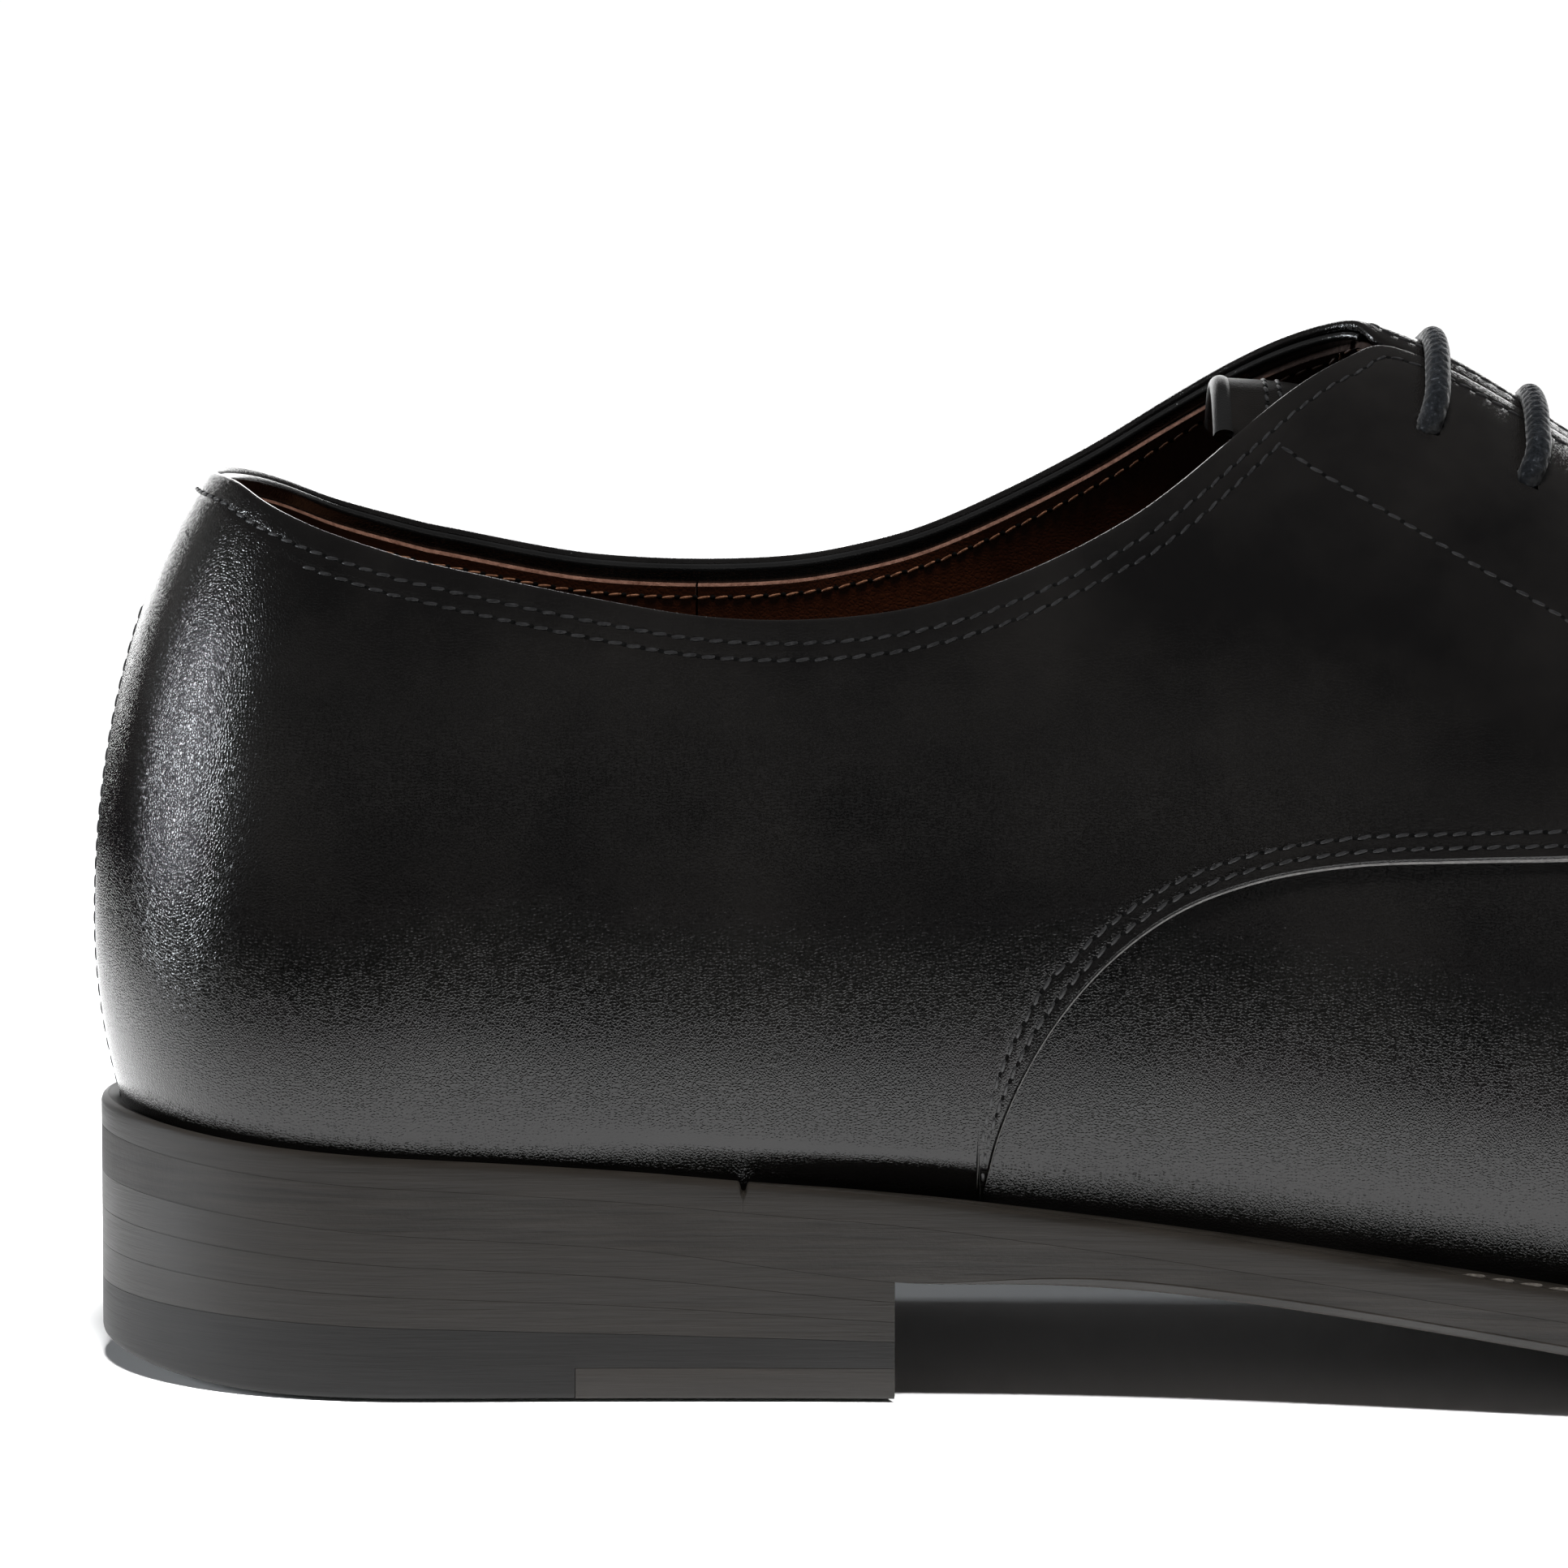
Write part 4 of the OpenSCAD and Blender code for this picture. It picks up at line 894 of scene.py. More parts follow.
def make_quarter(side, tag):
    patch, holes = quarter_patch(side), eyelet_holes(side)
    obj = leather("quarter_" + tag + "_skin", patch, OUT, GAP, [BLACK, CUT_AND_HIGHLIGHT], quarter_relief, (4, 5),
                  (0.35, 0.9), holes)
    # the quarter's edge on the vamp takes the lightened grey that paints the seam edge's highlight
    mark_edge(obj, patch, 0, 0.0013, 0.6, lift=LAP_RISE)
    finish_piece(obj, "upper_leather", "quarter_" + tag)
    return patch, holes


def to_tip(x0, n):
    """Places from x0 to the toe's tip, closer together towards the tip."""
    return np.concatenate([np.linspace(x0, THROAT, n, endpoint=False),
                           THROAT + (TIP - THROAT) * np.sin(np.linspace(0, np.pi / 2, n))])


def half_sheet(side, s, foot, w, cols, d_out, d_in):
    """Outer and inner layer of one side of a sheet, between two shares of the girth."""
    ss = np.repeat(s[:, None], cols, 1)
    ww = foot[:, None] + (w - foot)[:, None] * np.linspace(0, 1, cols)[None, :]
    base, nor = point(column(side, ss), ww), normals(side, ss, ww)
    return base + nor * d_out, base + nor * d_in


def join_halves(halves):
    """Points and grid faces of the layers of two half sheets."""
    rows, cols = halves[0][0].shape[:2]
    verts = np.concatenate([layer.reshape(-1, 3) for half in halves for layer in half])
    return verts, list(np.concatenate([grid_faces(rows, cols, start=k * rows * cols) for k in range(4)]))


def make_vamp():
    """One piece from side to side: each half runs under the quarter and meets the other on the ridge."""
    under, cols = SEAM_X0 - LAP_W + 1, 90
    halves, tops = [], []
    x = to_tip(under, 300)
    s = x - SEAT
    for side in (LAT, MED):
        reach = LAP_W - 1 + (3 - LAP_W) * ramp(150, 184, x)
        line = np.interp(np.clip(x + reach, 91, THROAT), *np.array(SEAM).T) + reach - 1
        w = soften(np.where(x < THROAT - 9, np.clip(share(column(side, s), line), 0, 1), 1.0), 6)
        w[x >= THROAT - 3] = 1.0
        w = np.minimum(w, 1.0)
        foot = np.where(x < SEAM_X0, share(column(side, s), welt_z(x) + FOOT_Z), 0.0)
        halves.append(half_sheet(side, s, np.minimum(foot, w - 0.01), w, cols, OUT, GAP))
        tops.append(w)
    verts, faces = join_halves(halves)
    for k, w in enumerate(tops):
        o, i = 2 * k * len(x) * cols, (2 * k + 1) * len(x) * cols
        for r in range(len(x) - 1):
            faces.append((o + r * cols, i + r * cols, i + (r + 1) * cols, o + (r + 1) * cols))
            if not (w[r] >= 1 and w[r + 1] >= 1):
                a, b = (r + 1) * cols - 1, (r + 2) * cols - 1
                faces.append((o + a, o + b, i + b, i + a))
        faces += [(o + c, o + c + 1, i + c + 1, i + c) for c in range(cols - 1)]
    finish_piece(new_mesh("vamp_skin", verts, faces, [BLACK], 45), "upper_leather", "vamp")


def climb(c, w):
    """The step a point takes when its share grows by 0.01."""
    return point(c, w + 0.005) - point(c, w - 0.005)


def binding_patch(side):
    """A band that follows the topline, between two distances below it."""
    hs, hw = topline_path(side)
    keep = np.cumsum(station_x(hs) > FACING_TOP) == 0
    hs, hw = hs[keep], hw[keep]
    c = column(side, hs)
    up = climb(c, hw)
    length = np.linalg.norm(up, axis=1) / 0.01
    k = np.maximum(0.4, np.linalg.norm(np.cross(unit(np.gradient(point(c, hw), axis=0)), unit(up)), axis=1))
    low, high = (resample(side, hs, soften(hw - drop / length / k, 4), 460) for drop in (2.3, 0.15))
    return Patch(side, low, high, (0, 0.2), (0, 0.2), 5)


def make_binding():
    """Folded edge: a bead on the topline and the turned-in strip inside it."""
    for side, tag in SIDES:
        obj = leather("topline_fold_" + tag, binding_patch(side), 0.0, -0.95, [BINDING],
                      rolls=(3, 6), bulge=(0.5, 1.0))
        finish_piece(obj, "binding_leather", "topline_binding")


def make_linings():
    """Grip round the heel and quarter linings, each with its raw upper edge."""
    split = 62 - SEAT
    for side, tag in SIDES:
        for name, node, s0, s1, holes in (
                ("heel_grip_" + tag, "heel_grip", BACK, split, ()),
                ("quarter_lining_" + tag + "_skin", "quarter_lining_" + tag, split + 0.04, LINING_END,
                 eyelet_holes(side))):
            patch = lining_patch(side, s0, s1)
            obj = leather(name, patch, LINE_OUT + 0.02, LINE_IN, [LINE, LINE_EDGE], None, (2, 3), (0.2, 0.35),
                          holes)
            mark_edge(obj, patch)
            finish_piece(obj, "lining_leather", node)


LINING_DROP = 1.75      # of the lining's edge below the topline
LINING_END = THROAT - 3 - SEAT


def lining_patch(side, s0, s1):
    hs, hw = topline_path(side)
    keep = (hs >= s0 - 1e-6) & (hs <= s1 + 1e-6)
    hs, hw = hs[keep], hw[keep]
    c = column(side, hs)
    w = hw - LINING_DROP / (np.linalg.norm(climb(c, hw), axis=1) / 0.01)
    n = 300
    x = station_x(hs)
    low = np.where(x > 110, share(c, np.interp(x, *np.array(SEAM).T)) + 0.02, 0.0)
    low = soften(low, 8)
    low = np.minimum(low, w - 0.02)
    return Patch(side, resample(side, hs, np.maximum(low, 0), n), resample(side, hs, w, n), [0, 1],
                 [0, 0.2, 1, 1.8, 2.2, 3], 26)


def mark_edge(obj, patch, row=-1, reach=0.0021, slope=0.8, lift=0.0):
    """The raw cut edge along a patch's first or last row takes the second material."""
    s, w = patch.s[:, row], patch.w[:, row]
    nor = normals(patch.side, s, w)
    edge = to_frame(point(column(patch.side, s), w) + nor * lift)
    kd = KDTree(len(edge))
    for i, p in enumerate(edge):
        kd.insert(Vector(p), i)
    kd.balance()
    above_sole = station_x(s) > SEAM_X0 + 0.2
    for poly in obj.data.polygons:
        _, i, dist = kd.find(poly.center)
        if dist < reach and abs(poly.normal.dot(Vector(nor[i]))) < slope and (row != 0 or above_sole[i]):
            poly.material_index = 1


def make_vamp_lining():
    s = to_tip(110.3, 110) - SEAT
    halves = []
    for side in (LAT, MED):
        x = s + SEAT
        w = np.where(x < THROAT, share(column(side, s), np.interp(x, *np.array(SEAM).T) - 0.4), 1.0)
        halves.append(half_sheet(side, s, 0 * s, np.clip(w, 0, 1), 36, LINE_OUT, LINE_IN))
    obj = new_mesh("vamp_lining_skin", *join_halves(halves), [LINE], 50)
    finish_piece(obj, "vamp_lining_leather", "vamp_lining")


# ---- stitching ----

def upper_stitching(patches):
    lines = []
    for side, patch in patches.items():
        depth = lambda s, w: OUT + lap(side, s, w) - 0.08
        x_high, x_low = station_x(patch.s[:, -1]), station_x(patch.s[:, 0])
        corner = int(np.argmax(x_high > 122.5))
        back, fan = (int(np.argmax(patch.high_u > u)) for u in (1.0, 25))
        start = int(np.argmax(x_low > SEAM_X0 + 0.15))
        lines += [patch.row(ROWS_HIGH[0], depth, True, back, len(x_high) - 10),
                  patch.row(ROWS_HIGH[1], depth, True, fan, corner)]
        lines += [patch.row(row, depth, False, start, len(x_low) - 4) for row in ROWS_SEAM]
        lines += [facing_line(side), back_line(side)]
    finish_piece(stitches("upper_stitching", lines, [THREAD, HOLE_SHADE]), "upper_leather")


FACING_LINE = [[121.6, 94.6], [124, 92.9], [127, 91.1], [133, 87.5], [139, 83.8], [145, 80.1], [149, 77.6],
               [158, 72.2], [168, 66.6], [178, 62.3], [183, 61.3]]


def facing_line(side):
    """Single row that holds the facing stay, from the topline rows down to the seam."""
    x, z = side_path(FACING_LINE, 0.3, 2)
    s = x - SEAT
    w = share(column(side, s), z + (0 if side < 0 else 0.5))
    return on_last(side, s, w, OUT - 0.02 + lap(side, s, w))


def back_line(side):
    """Single row up the back seam."""
    z = np.linspace(26, 77, 200)
    s = np.full(len(z), BACK + ROW_BACK)
    return on_last(side, s, share(column(side, s), z), OUT)


def lining_stitching():
    lines = []
    for side in (LAT, MED):
        p, n = lining_patch(side, BACK, LINING_END).row(1.3, LINE_IN - 0.02, True)
        lines.append((p, -n))
    obj = stitches("lining_stitching", lines, [BROWN_THREAD, HOLE_SHADE], radius=0.17, length=1.4)
    finish_piece(obj, "lining_leather")


def eyelet_lips(holes_by_side):
    """Raised lip and wall of each blind eyelet."""
    around = 40
    a = 2 * np.pi * np.arange(around)[:, None] / around
    profile = [(-0.16, -3.0), (-0.16, -0.15), (-0.1, 0.06), (0.12, 0.17), (0.4, 0.16), (0.72, 0.05),
               (0.95, -0.1)]
    verts, faces = [], []
    for c, axis, radius in holes_by_side[LAT] + holes_by_side[MED]:
        u = unit(np.cross(axis, [1.0, 0, 0]))
        ray = u[None] * np.cos(a) + np.cross(axis, u)[None] * np.sin(a)
        faces.append(grid_faces(len(profile), around, wrap=True, start=len(verts) * around))
        verts += [c + axis * h + (radius + 0.12 + dr) * ray for dr, h in profile]
    obj = new_mesh("eyelet_lips", np.concatenate(verts), np.concatenate(faces), [BLACK], 60, fix=False)
    finish_piece(obj, "upper_leather")


# ---- tongue ----

TONGUE_X0, TONGUE_X1 = 117.0, 199.0
TONGUE_A, TONGUE_SIDE, TONGUE_B, TONGUE_TURN, TONGUE_T = 15.5, -3.4, 20.0, 56.0, 1.1
tongue_depth = smooth([[TONGUE_X0 - 2, 4.4], [122, 5.2], [131, 6.8], [138, 7], [184, 7], [192, 5.2],
                       [TONGUE_X1, 3.6]], 1)


def tongue_point(x, a, d):
    z = ridge_z(x) - tongue_depth(x) - TONGUE_B
    r = np.radians(a)
    return np.stack([x + 0 * r, ridge_y(x) + TONGUE_SIDE + (TONGUE_A + d) * np.sin(r),
                     z + (TONGUE_B + d) * np.cos(r)], -1)


def tongue_turn(x):
    """Half the tongue's angle round its axis, narrower near the bound edge."""
    return TONGUE_TURN * (0.72 + 0.28 * ramp(TONGUE_X0 - 2, TONGUE_X0 + 9, x))


def tongue_sheet(name, x0, x1, d_out, d_in, mats):
    n, m = 200, 60
    xs, t = np.linspace(x0, x1, n), np.linspace(-1, 1, m)
    X, A = xs[:, None] + 0 * t, tongue_turn(xs)[:, None] * t
    edge = np.sqrt(np.clip(1 - np.clip((np.abs(t) - 0.94) / 0.06, 0, 1) ** 2, 0, 1))
    rear = np.sqrt(np.clip(1 - np.clip(1 - (xs - x0) / 0.7, 0, 1) ** 2, 0, 1))
    mid, half = (d_out + d_in) / 2, (d_out - d_in) / 2
    k = half * edge[None, :] * rear[:, None]
    verts = np.concatenate([tongue_point(X, A, mid + way * k).reshape(-1, 3) for way in (1, -1)])
    faces = list(grid_faces(n, m)) + list(grid_faces(n, m, start=n * m))
    rims = [(i * m + j, (i + 1) * m + j) for i in range(n - 1) for j in (0, m - 1)]
    rims += [(i * m + j, i * m + j + 1) for j in range(m - 1) for i in (0, n - 1)]
    faces += [(a, b, n * m + b, n * m + a) for a, b in rims]
    return new_mesh(name, verts, faces, mats, 50)


def make_tongue():
    skin = tongue_sheet("tongue_skin", TONGUE_X0 - 1, TONGUE_X1, 0, -TONGUE_T, [TONGUE_CALF])
    finish_piece(skin, "upper_leather", "tongue", body="tongue_flap")
    lining = tongue_sheet("tongue_lining_skin", TONGUE_X0 - 0.6, TONGUE_X1 - 3, -TONGUE_T - GAP,
                          -TONGUE_T - LINING, [TONGUE_LINE])
    finish_piece(lining, "lining_leather", "tongue_lining", body="tongue_flap")
    a = np.linspace(-1, 1, 120) * TONGUE_TURN * 0.725
    path = tongue_point(np.full(120, TONGUE_X0 - 0.9), a, -0.9)
    bead = tube("tongue_bound_edge", path, 1.15, [TONGUE_BINDING], 20, up=(1, 0, 0))
    finish_piece(bead, "binding_leather", "tongue_binding", body="tongue_flap")
    lines = []
    for back in (3.6, 5.0):
        x = np.full(160, TONGUE_X0 + back)
        a = np.linspace(-1, 1, 160) * tongue_turn(x) * 0.93
        lines.append((tongue_point(x, a, 0.02), unit(tongue_point(x, a, 1.0) - tongue_point(x, a, 0.0))))
    finish_piece(stitches("tongue_stitching", lines, [THREAD, HOLE_SHADE]), "upper_leather", body="tongue_flap")


# ---- lace ----

BAR_D = OUT + LACE_D / 2 + 0.2
RUN_D = LINE_IN - LACE_D / 2 - 0.35
BAR_LEAN = 1.0      # the bars lean towards the toe on top


def on_side(side, x, r, d):
    s = np.array([x - SEAT])
    return on_last(side, s, share_r(side, s, r), d)[0][0]


def half_bar(side, k):
    x, e = eyelet_x(k), eyelet_r(side, k)
    lean = BAR_LEAN
    return [on_side(side, x, e + 0.15, OUT - 1.2), on_side(side, x, e - 0.1, OUT + 0.2),
            on_side(side, x + lean * 0.35, e - 1.3, BAR_D - 0.25),
            on_side(side, x + lean * 0.75, e * 0.6, BAR_D - 0.15),
            on_side(side, x + lean, e * 0.3, BAR_D - 0.5)]


def bar(k, side):
    x = eyelet_x(k)
    return half_bar(side, k) + [on_side(MED, x + BAR_LEAN, 0, BAR_D - 0.75)] + half_bar(-side, k)[::-1]


def run(side, k, n, r):
    a, b = eyelet_x(k), eyelet_x(n)
    step = 2.6 if b > a else -2.6
    ea, eb = eyelet_r(side, k), eyelet_r(side, n)
    e = (ea + eb) / 2
    return [on_side(side, a, ea, RUN_D + 0.9), on_side(side, a + step, ea + r, RUN_D),
            on_side(side, (a + b) / 2, e + r, RUN_D), on_side(side, b - step, eb + r, RUN_D),
            on_side(side, b, eb, RUN_D + 0.9)]


def tail(side, k, r, length):
    a, e = eyelet_x(k), eyelet_r(side, k)
    return [on_side(side, a, e, RUN_D + 0.9)] + [on_side(side, a + 3 + i * length / 3, e + r, RUN_D)
                                                 for i in range(4)]


def make_lace():
    near, far, tuck = -1.5, 1.7, 5.0
    route = (tail(MED, 0, tuck, 30)[::-1] + bar(0, MED) + run(LAT, 0, 2, near) + bar(2, LAT)
             + run(MED, 2, 4, near) + bar(4, MED) + run(LAT, 4, 5, near) + bar(5, LAT) + run(MED, 5, 3, far)
             + bar(3, MED) + run(LAT, 3, 1, far) + bar(1, LAT) + tail(MED, 1, tuck + 3.2, 24))

    def braid(u, a):
        k = 2 * np.pi / 1.5
        return 0.075 * np.maximum(np.cos(4 * a + k * u), np.cos(4 * a - k * u)) - 0.05
    obj = tube("lace_braid", spline(route, 0.22, 2), LACE_D / 2, [LACE], 32, relief=braid)
    finish_piece(obj, "lace_cotton", "lace")


# ---- sole and heel ----

def rib_z(x):
    return welt_z(x) - WELT_T


def whole(inset=0.0, use_ext=False):
    return [outline(side, inset, use_ext) for side in (LAT, MED)]


def make_sole():
    edge = [(3.0, 0, 0.0), (1.3, 0, 0.0), (0.6, 0, 0.18), (0.28, 0, 0.5), (0.06, 0, 0.85), (-0.06, 0, 0.98),
            (-0.06, 0, 1.06), (0.03, 0, 1.16), (0, 0.5, 0), (0.0, 1, -0.03), (0.03, 1, -0.0), (1.0, 1, -0.0)]
    obj = slab("outsole_leather", *whole(), low_z, rib_z, edge, [SOLE], across=16,
               fade=lambda x: 0.02 + 0.98 * ramp(BREAST - 1, BREAST + 24, x))
    finish_piece(obj, "sole_leather", "outsole")
    lat, med = (ring_side(side, WELT_START, SOLE_LEN) for side in (LAT, MED))
    ring = [np.concatenate([p, q[::-1][1:]]) for p, q in zip(lat, med)]
    finish_piece(ring_strip("welt_strip", *ring, [HEEL, WELT]), "welt_leather", "welt")
    lat, med = (ring_side(side, 0.0, WELT_START - 0.02) for side in (LAT, MED))
    ring = [np.concatenate([q[::-1][:-1], p]) for p, q in zip(lat, med)]
    finish_piece(ring_strip("heel_rand_strip", *ring, [HEEL]), "sole_leather", "heel_rand")


def ring_side(side, a, b):
    """Outer and inner edge of the welt ring on one side, point for point, and its outward directions."""
    full, inner = outline(side), outline(side, 0, True)
    nor = out_dirs(full, side)
    nor[0], nor[-1] = (-1, 0), (1, 0)
    index = np.arange(len(full), dtype=float)
    near = np.array([0.1, 0.2, 0.3, 0.4, 0.55, 0.8, 1.2])
    places = np.concatenate([WELT_START - near, [WELT_START - 0.02, WELT_START], WELT_START + near, [a, b]])
    t = np.unique(np.concatenate([index, np.interp(places, full[:, 0], index)]))
    keep = None
    made = []
    for v in (full, inner, nor):
        v = np.stack([np.interp(t, index, v[:, k]) for k in (0, 1)], 1)
        keep = (v[:, 0] >= a - 1e-6) & (v[:, 0] <= b + 1e-6) if keep is None else keep
        made.append(v[keep])
    return made


def joint_notch(x):
    """The little cut where the rand's end meets the welt's."""
    return 0.95 * np.exp(-((x - WELT_START) / 0.34) ** 4)


def ring_strip(name, po, pi, no, mats):
    """Welt or rand: an edge flush with the outsole's, a rounded shoulder and a top that meets the upper."""
    prof = [(0.02, 0, 0.0), (0, 0, 0.02), (0, 0.4, 0), (0, 1, -0.75), (0.1, 1, -0.38), (0.35, 1, -0.12),
            (0.7, 1, 0)]
    rows = []
    for ins, f, dz in prof:
        xy = po - no * ins
        z = rib_z(po[:, 0]) + WELT_T * f + dz - (joint_notch(po[:, 0]) if f == 1 else 0)
        rows.append(np.stack([xy[:, 0], xy[:, 1], z], 1))
    top_o = po - no * 0.7
    width = np.linalg.norm(pi - po, axis=1)
    into = pi + (pi - po) / np.maximum(1e-6, width)[:, None] * 0.6
    for t in np.linspace(0, 1, 16)[1:]:
        xy = top_o + (into - top_o) * t
        dist = np.linalg.norm(xy - po, axis=1)
        trough = -0.28 * np.exp(-((dist - 2.3) / 0.55) ** 2) * ramp(3.4, 4.2, width)
        z = welt_z(xy[:, 0]) + trough - 0.35 * ramp(width - 1.2, width + 0.2, dist) - joint_notch(po[:, 0])
        rows.append(np.stack([xy[:, 0], xy[:, 1], z], 1))
    low = rows[-1].copy()
    low[:, 2] = rib_z(low[:, 0]) + 0.05
    rows.append(low)
    grid = np.stack(rows, 1)
    n, k = grid.shape[:2]
    faces = list(grid_faces(n, k, wrap=True)) + [range(k), range((n - 1) * k, n * k)]
    obj = new_mesh(name, grid.reshape(-1, 3), faces, mats, 38)
    for poly in obj.data.polygons:
        poly.material_index = int(len(mats) > 1 and poly.normal.z > 0.75)
    return obj


def welt_stitching():
    """Lockstitch in the welt's furrow, all round the forepart."""
    lat, med = (p[p[:, 0] > 138] for p in whole(2.3))
    p = np.concatenate([lat, med[::-1][1:]])
    q = spline(np.stack([p[:, 0], p[:, 1], np.zeros(len(p))], 1), 0.4, 1)
    q[:, 2] = welt_z(q[:, 0]) - 0.24
    nor = np.tile([0.0, 0, 1.0], (len(q), 1))
    obj = stitches("welt_stitching", [(q, nor)], [WELT_THREAD, HOLE_SHADE], pitch=2.9, length=2.5, radius=0.36,
                   sink=0.05, slant=0.1, hole=0.34)
    finish_piece(obj, "welt_leather")


def make_heel():
    lift_edge = [(0.3, 0, 0.0), (0.03, 0, 0.0), (0.0, 0, 0.03), (0, 0.5, 0), (0, 1, -0.03), (0.03, 1, 0.0),
                 (0.3, 1, 0.0)]
    lat, med = (cut(p, 0, BREAST) for p in whole())
    for k in range(LIFTS):
        obj = slab("heel_lift_%d_leather" % (k + 1), lat, med, lambda x: lift_z(x, k),
                   lambda x: lift_z(x, k + 1), lift_edge, [HEEL], warp=heel_warp, ends=(False, True))
        finish_piece(obj, "sole_leather", "heel_lift_%d" % (k + 1))
    rubber_edge = [(0.8, 0, 0), (0.3, 0, 0.1), (0.08, 0, 0.3), (0, 0, 0.7), (0, 0.5, 0), (0, 1, -0.04),
                   (0.04, 1, 0.0), (0.4, 1, 0.0)]
    step = lambda x: np.where(x > INSERT_X, INSERT_T, tread_z(x))

    def stepped(p):
        """The outline with two points where the lower face steps up over the insert."""
        x = np.array([INSERT_X - 0.01, INSERT_X + 0.01])
        extra = np.stack([x, np.interp(x, p[:, 0], p[:, 1])], 1)
        return np.concatenate([p[p[:, 0] < INSERT_X - 0.05], extra, p[p[:, 0] > INSERT_X + 0.05]])

    obj = slab("heel_top_lift_rubber", stepped(lat), stepped(med), step, top_lift_z, rubber_edge, [RUBBER],
               warp=heel_warp, ends=(False, True), fade=lambda x: np.where(x > INSERT_X, 0.03, 1.0))
    finish_piece(obj, "heel_rubber", "heel_top_lift")
    lat, med = (cut(p, INSERT_X + 0.06, BREAST) for p in whole())
    insert_edge = [(0.7, 0, 0), (0.3, 0, 0.06), (0.1, 0, 0.15), (0, 0, 0.35), (0, 1, -0.03), (0.03, 1, 0)]
    obj = slab("heel_insert_leather", lat, med, lambda x: 0 * x, lambda x: 0 * x + INSERT_T - 0.02,
               insert_edge, [INSERT], warp=heel_warp, ends=(True, True))
    finish_piece(obj, "insert_leather", "heel_insert")
    dress("heel_nails", BRASS)


def make_bed():
    """Insole board, sock liner and the hidden filling between insole and outsole."""
    bed = LEATHER + 0.1 + 1.4 - LINE_IN + 0.4
    cork_t, insole_t, sock_t, sock_x1 = 1.8, 2.6, 1.0, 118.0
    lat, med = (p[p[:, 0] < sock_x1] for p in whole(bed + 0.4, True))
    n = min(len(lat), len(med))
    sock_edge = [(0.2, 0, 0), (0, 0, 0.2), (0, 1, -0.35), (0.15, 1, -0.1), (0.45, 1, 0)]
    obj = slab("sock_liner_leather", lat[:n], med[:n], lambda x: rib_z(x) + cork_t + insole_t + GAP,
               lambda x: rib_z(x) + cork_t + insole_t + sock_t, sock_edge, [SOCK], ends=(False, True))
    finish_piece(obj, "insole_leather", "sock_liner")
    for node, mat in (("insole", BOARD), ("cork_filler", CORK), ("shank", STEEL), ("heel_counter", COUNTER),
                      ("toe_puff", PUFF), ("facing_stay_lateral", FABRIC), ("facing_stay_medial", FABRIC)):
        dress(node, mat)


# ---- floor, light, camera ----

def area(name, size, at, look, power, color=(1, 1, 1)):
    data = bpy.data.lights.new(name, "AREA")
    data.shape = "RECTANGLE"
    data.size, data.size_y = size
    data.energy = power
    data.color = color
    obj = bpy.data.objects.new(name, data)
    bpy.context.scene.collection.objects.link(obj)
    obj.location = at
    obj.rotation_euler = (Vector(look) - Vector(at)).to_track_quat("-Z", "Y").to_euler()
    return obj


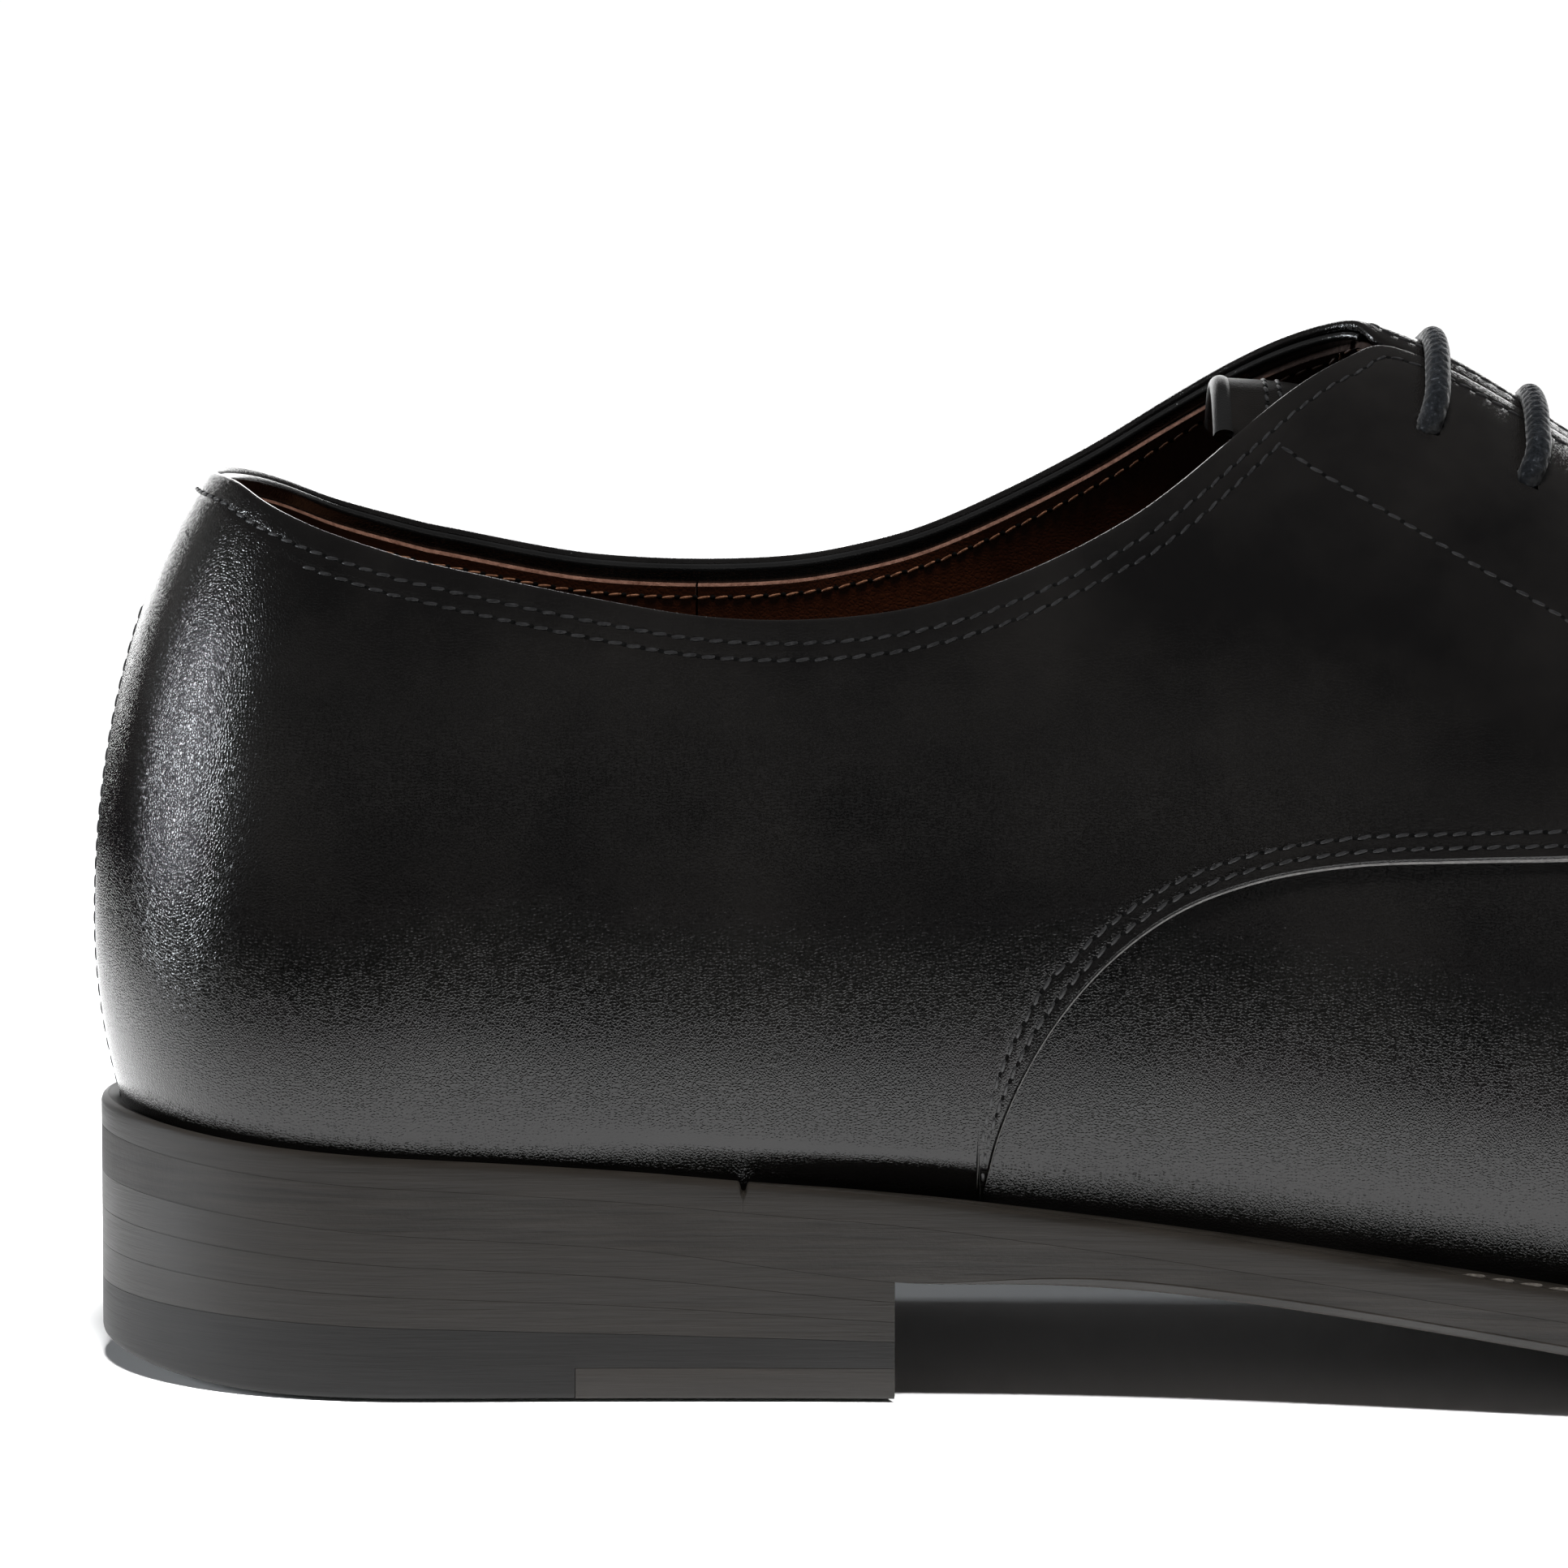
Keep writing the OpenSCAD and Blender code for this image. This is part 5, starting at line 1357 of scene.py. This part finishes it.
def make_studio():
    mesh = bpy.data.meshes.new("studio_floor")
    r, n = 0.36, 96
    rim = [(r * math.cos(2 * math.pi * k / n), r * math.sin(2 * math.pi * k / n), 0) for k in range(n)]
    mesh.from_pydata(rim, [], [tuple(range(n))])
    m = Nodes("floor_paper")
    m.set(Base_Color=m.ramp(m.noise(0.2, 3), (0.0, (0.85,) * 3), (1.0, (0.88,) * 3)), Roughness=0.75)
    m.set(Specular_IOR_Level=0.0)
    mesh.materials.append(m.mat)
    floor = bpy.data.objects.new("studio_floor", mesh)
    floor.location = (0, 0.2, -0.0003)
    bpy.context.scene.collection.objects.link(floor)
    world = bpy.data.worlds.new("studio")
    bpy.context.scene.world = world
    world.use_nodes = True
    tree = world.node_tree
    tree.nodes.clear()
    out, mixer, path, dim, white, coord, sep, glow, fill = (tree.nodes.new("ShaderNode" + kind) for kind in (
        "OutputWorld", "MixShader", "LightPath", "Background", "Background", "TexCoord", "SeparateXYZ",
        "ValToRGB", "MapRange"))
    e = glow.color_ramp.elements
    e[0].position, e[0].color = 0.0, (0.015, 0.015, 0.016, 1)
    e[1].position, e[1].color = 1.0, (0.1, 0.1, 0.103, 1)
    for height, level in ((0.08, 0.08), (0.16, 0.36), (0.3, 0.34), (0.42, 0.09)):
        e.new(height).color = (level, level * 0.99, level * 0.98, 1)
    fill.inputs["To Min"].default_value, fill.inputs["To Max"].default_value = 1.0, 0.2
    white.inputs["Color"].default_value = (1, 1, 1, 1)
    white.inputs["Strength"].default_value = 1.05
    for a, b in ((coord.outputs["Generated"], sep.inputs[0]), (sep.outputs[2], glow.inputs[0]),
                 (glow.outputs[0], dim.inputs["Color"]),
                 (path.outputs["Is Diffuse Ray"], fill.inputs["Value"]),
                 (fill.outputs[0], dim.inputs["Strength"]), (path.outputs["Is Camera Ray"], mixer.inputs[0]),
                 (dim.outputs[0], mixer.inputs[1]), (white.outputs[0], mixer.inputs[2]),
                 (mixer.outputs[0], out.inputs[0])):
        tree.links.new(a, b)
    key = area("key_light", (0.4, 0.3), (0.0, -0.56, 1.35), (0, 0.03, 0), 75)
    key.visible_glossy = False
    back = area("back_softbox", (2.2, 0.7), (0.1, 1.6, 0.36), (0, 0, 0.05), 22)
    back.visible_diffuse = False
    back.visible_camera = False
    area("heel_strip", (0.09, 0.36), (-1.1, 0.05, 0.22), (-0.1, 0, 0.06), 6.5, (0.9, 0.95, 1.0))


CAMERA_AT, CAMERA_TILT, CAMERA_LENS = (-0.07865, -0.8989, 0.151), 5.83, 199.84


def make_camera():
    data = bpy.data.cameras.new("camera")
    data.sensor_width = 36
    data.lens = CAMERA_LENS
    data.clip_start, data.clip_end = 0.05, 50
    cam = bpy.data.objects.new("camera", data)
    bpy.context.scene.collection.objects.link(cam)
    cam.location = CAMERA_AT
    cam.rotation_euler = (math.radians(90 - CAMERA_TILT), 0, 0)
    bpy.context.scene.camera = cam
    bpy.context.scene.view_settings.view_transform = "Standard"


make_camera()
make_studio()
patches, holes = {}, {}
for side, tag in SIDES:
    patches[side], holes[side] = make_quarter(side, tag)
make_vamp()
make_binding()
make_linings()
make_vamp_lining()
upper_stitching(patches)
lining_stitching()
eyelet_lips(holes)
make_tongue()
make_lace()
make_sole()
welt_stitching()
make_heel()
make_bed()
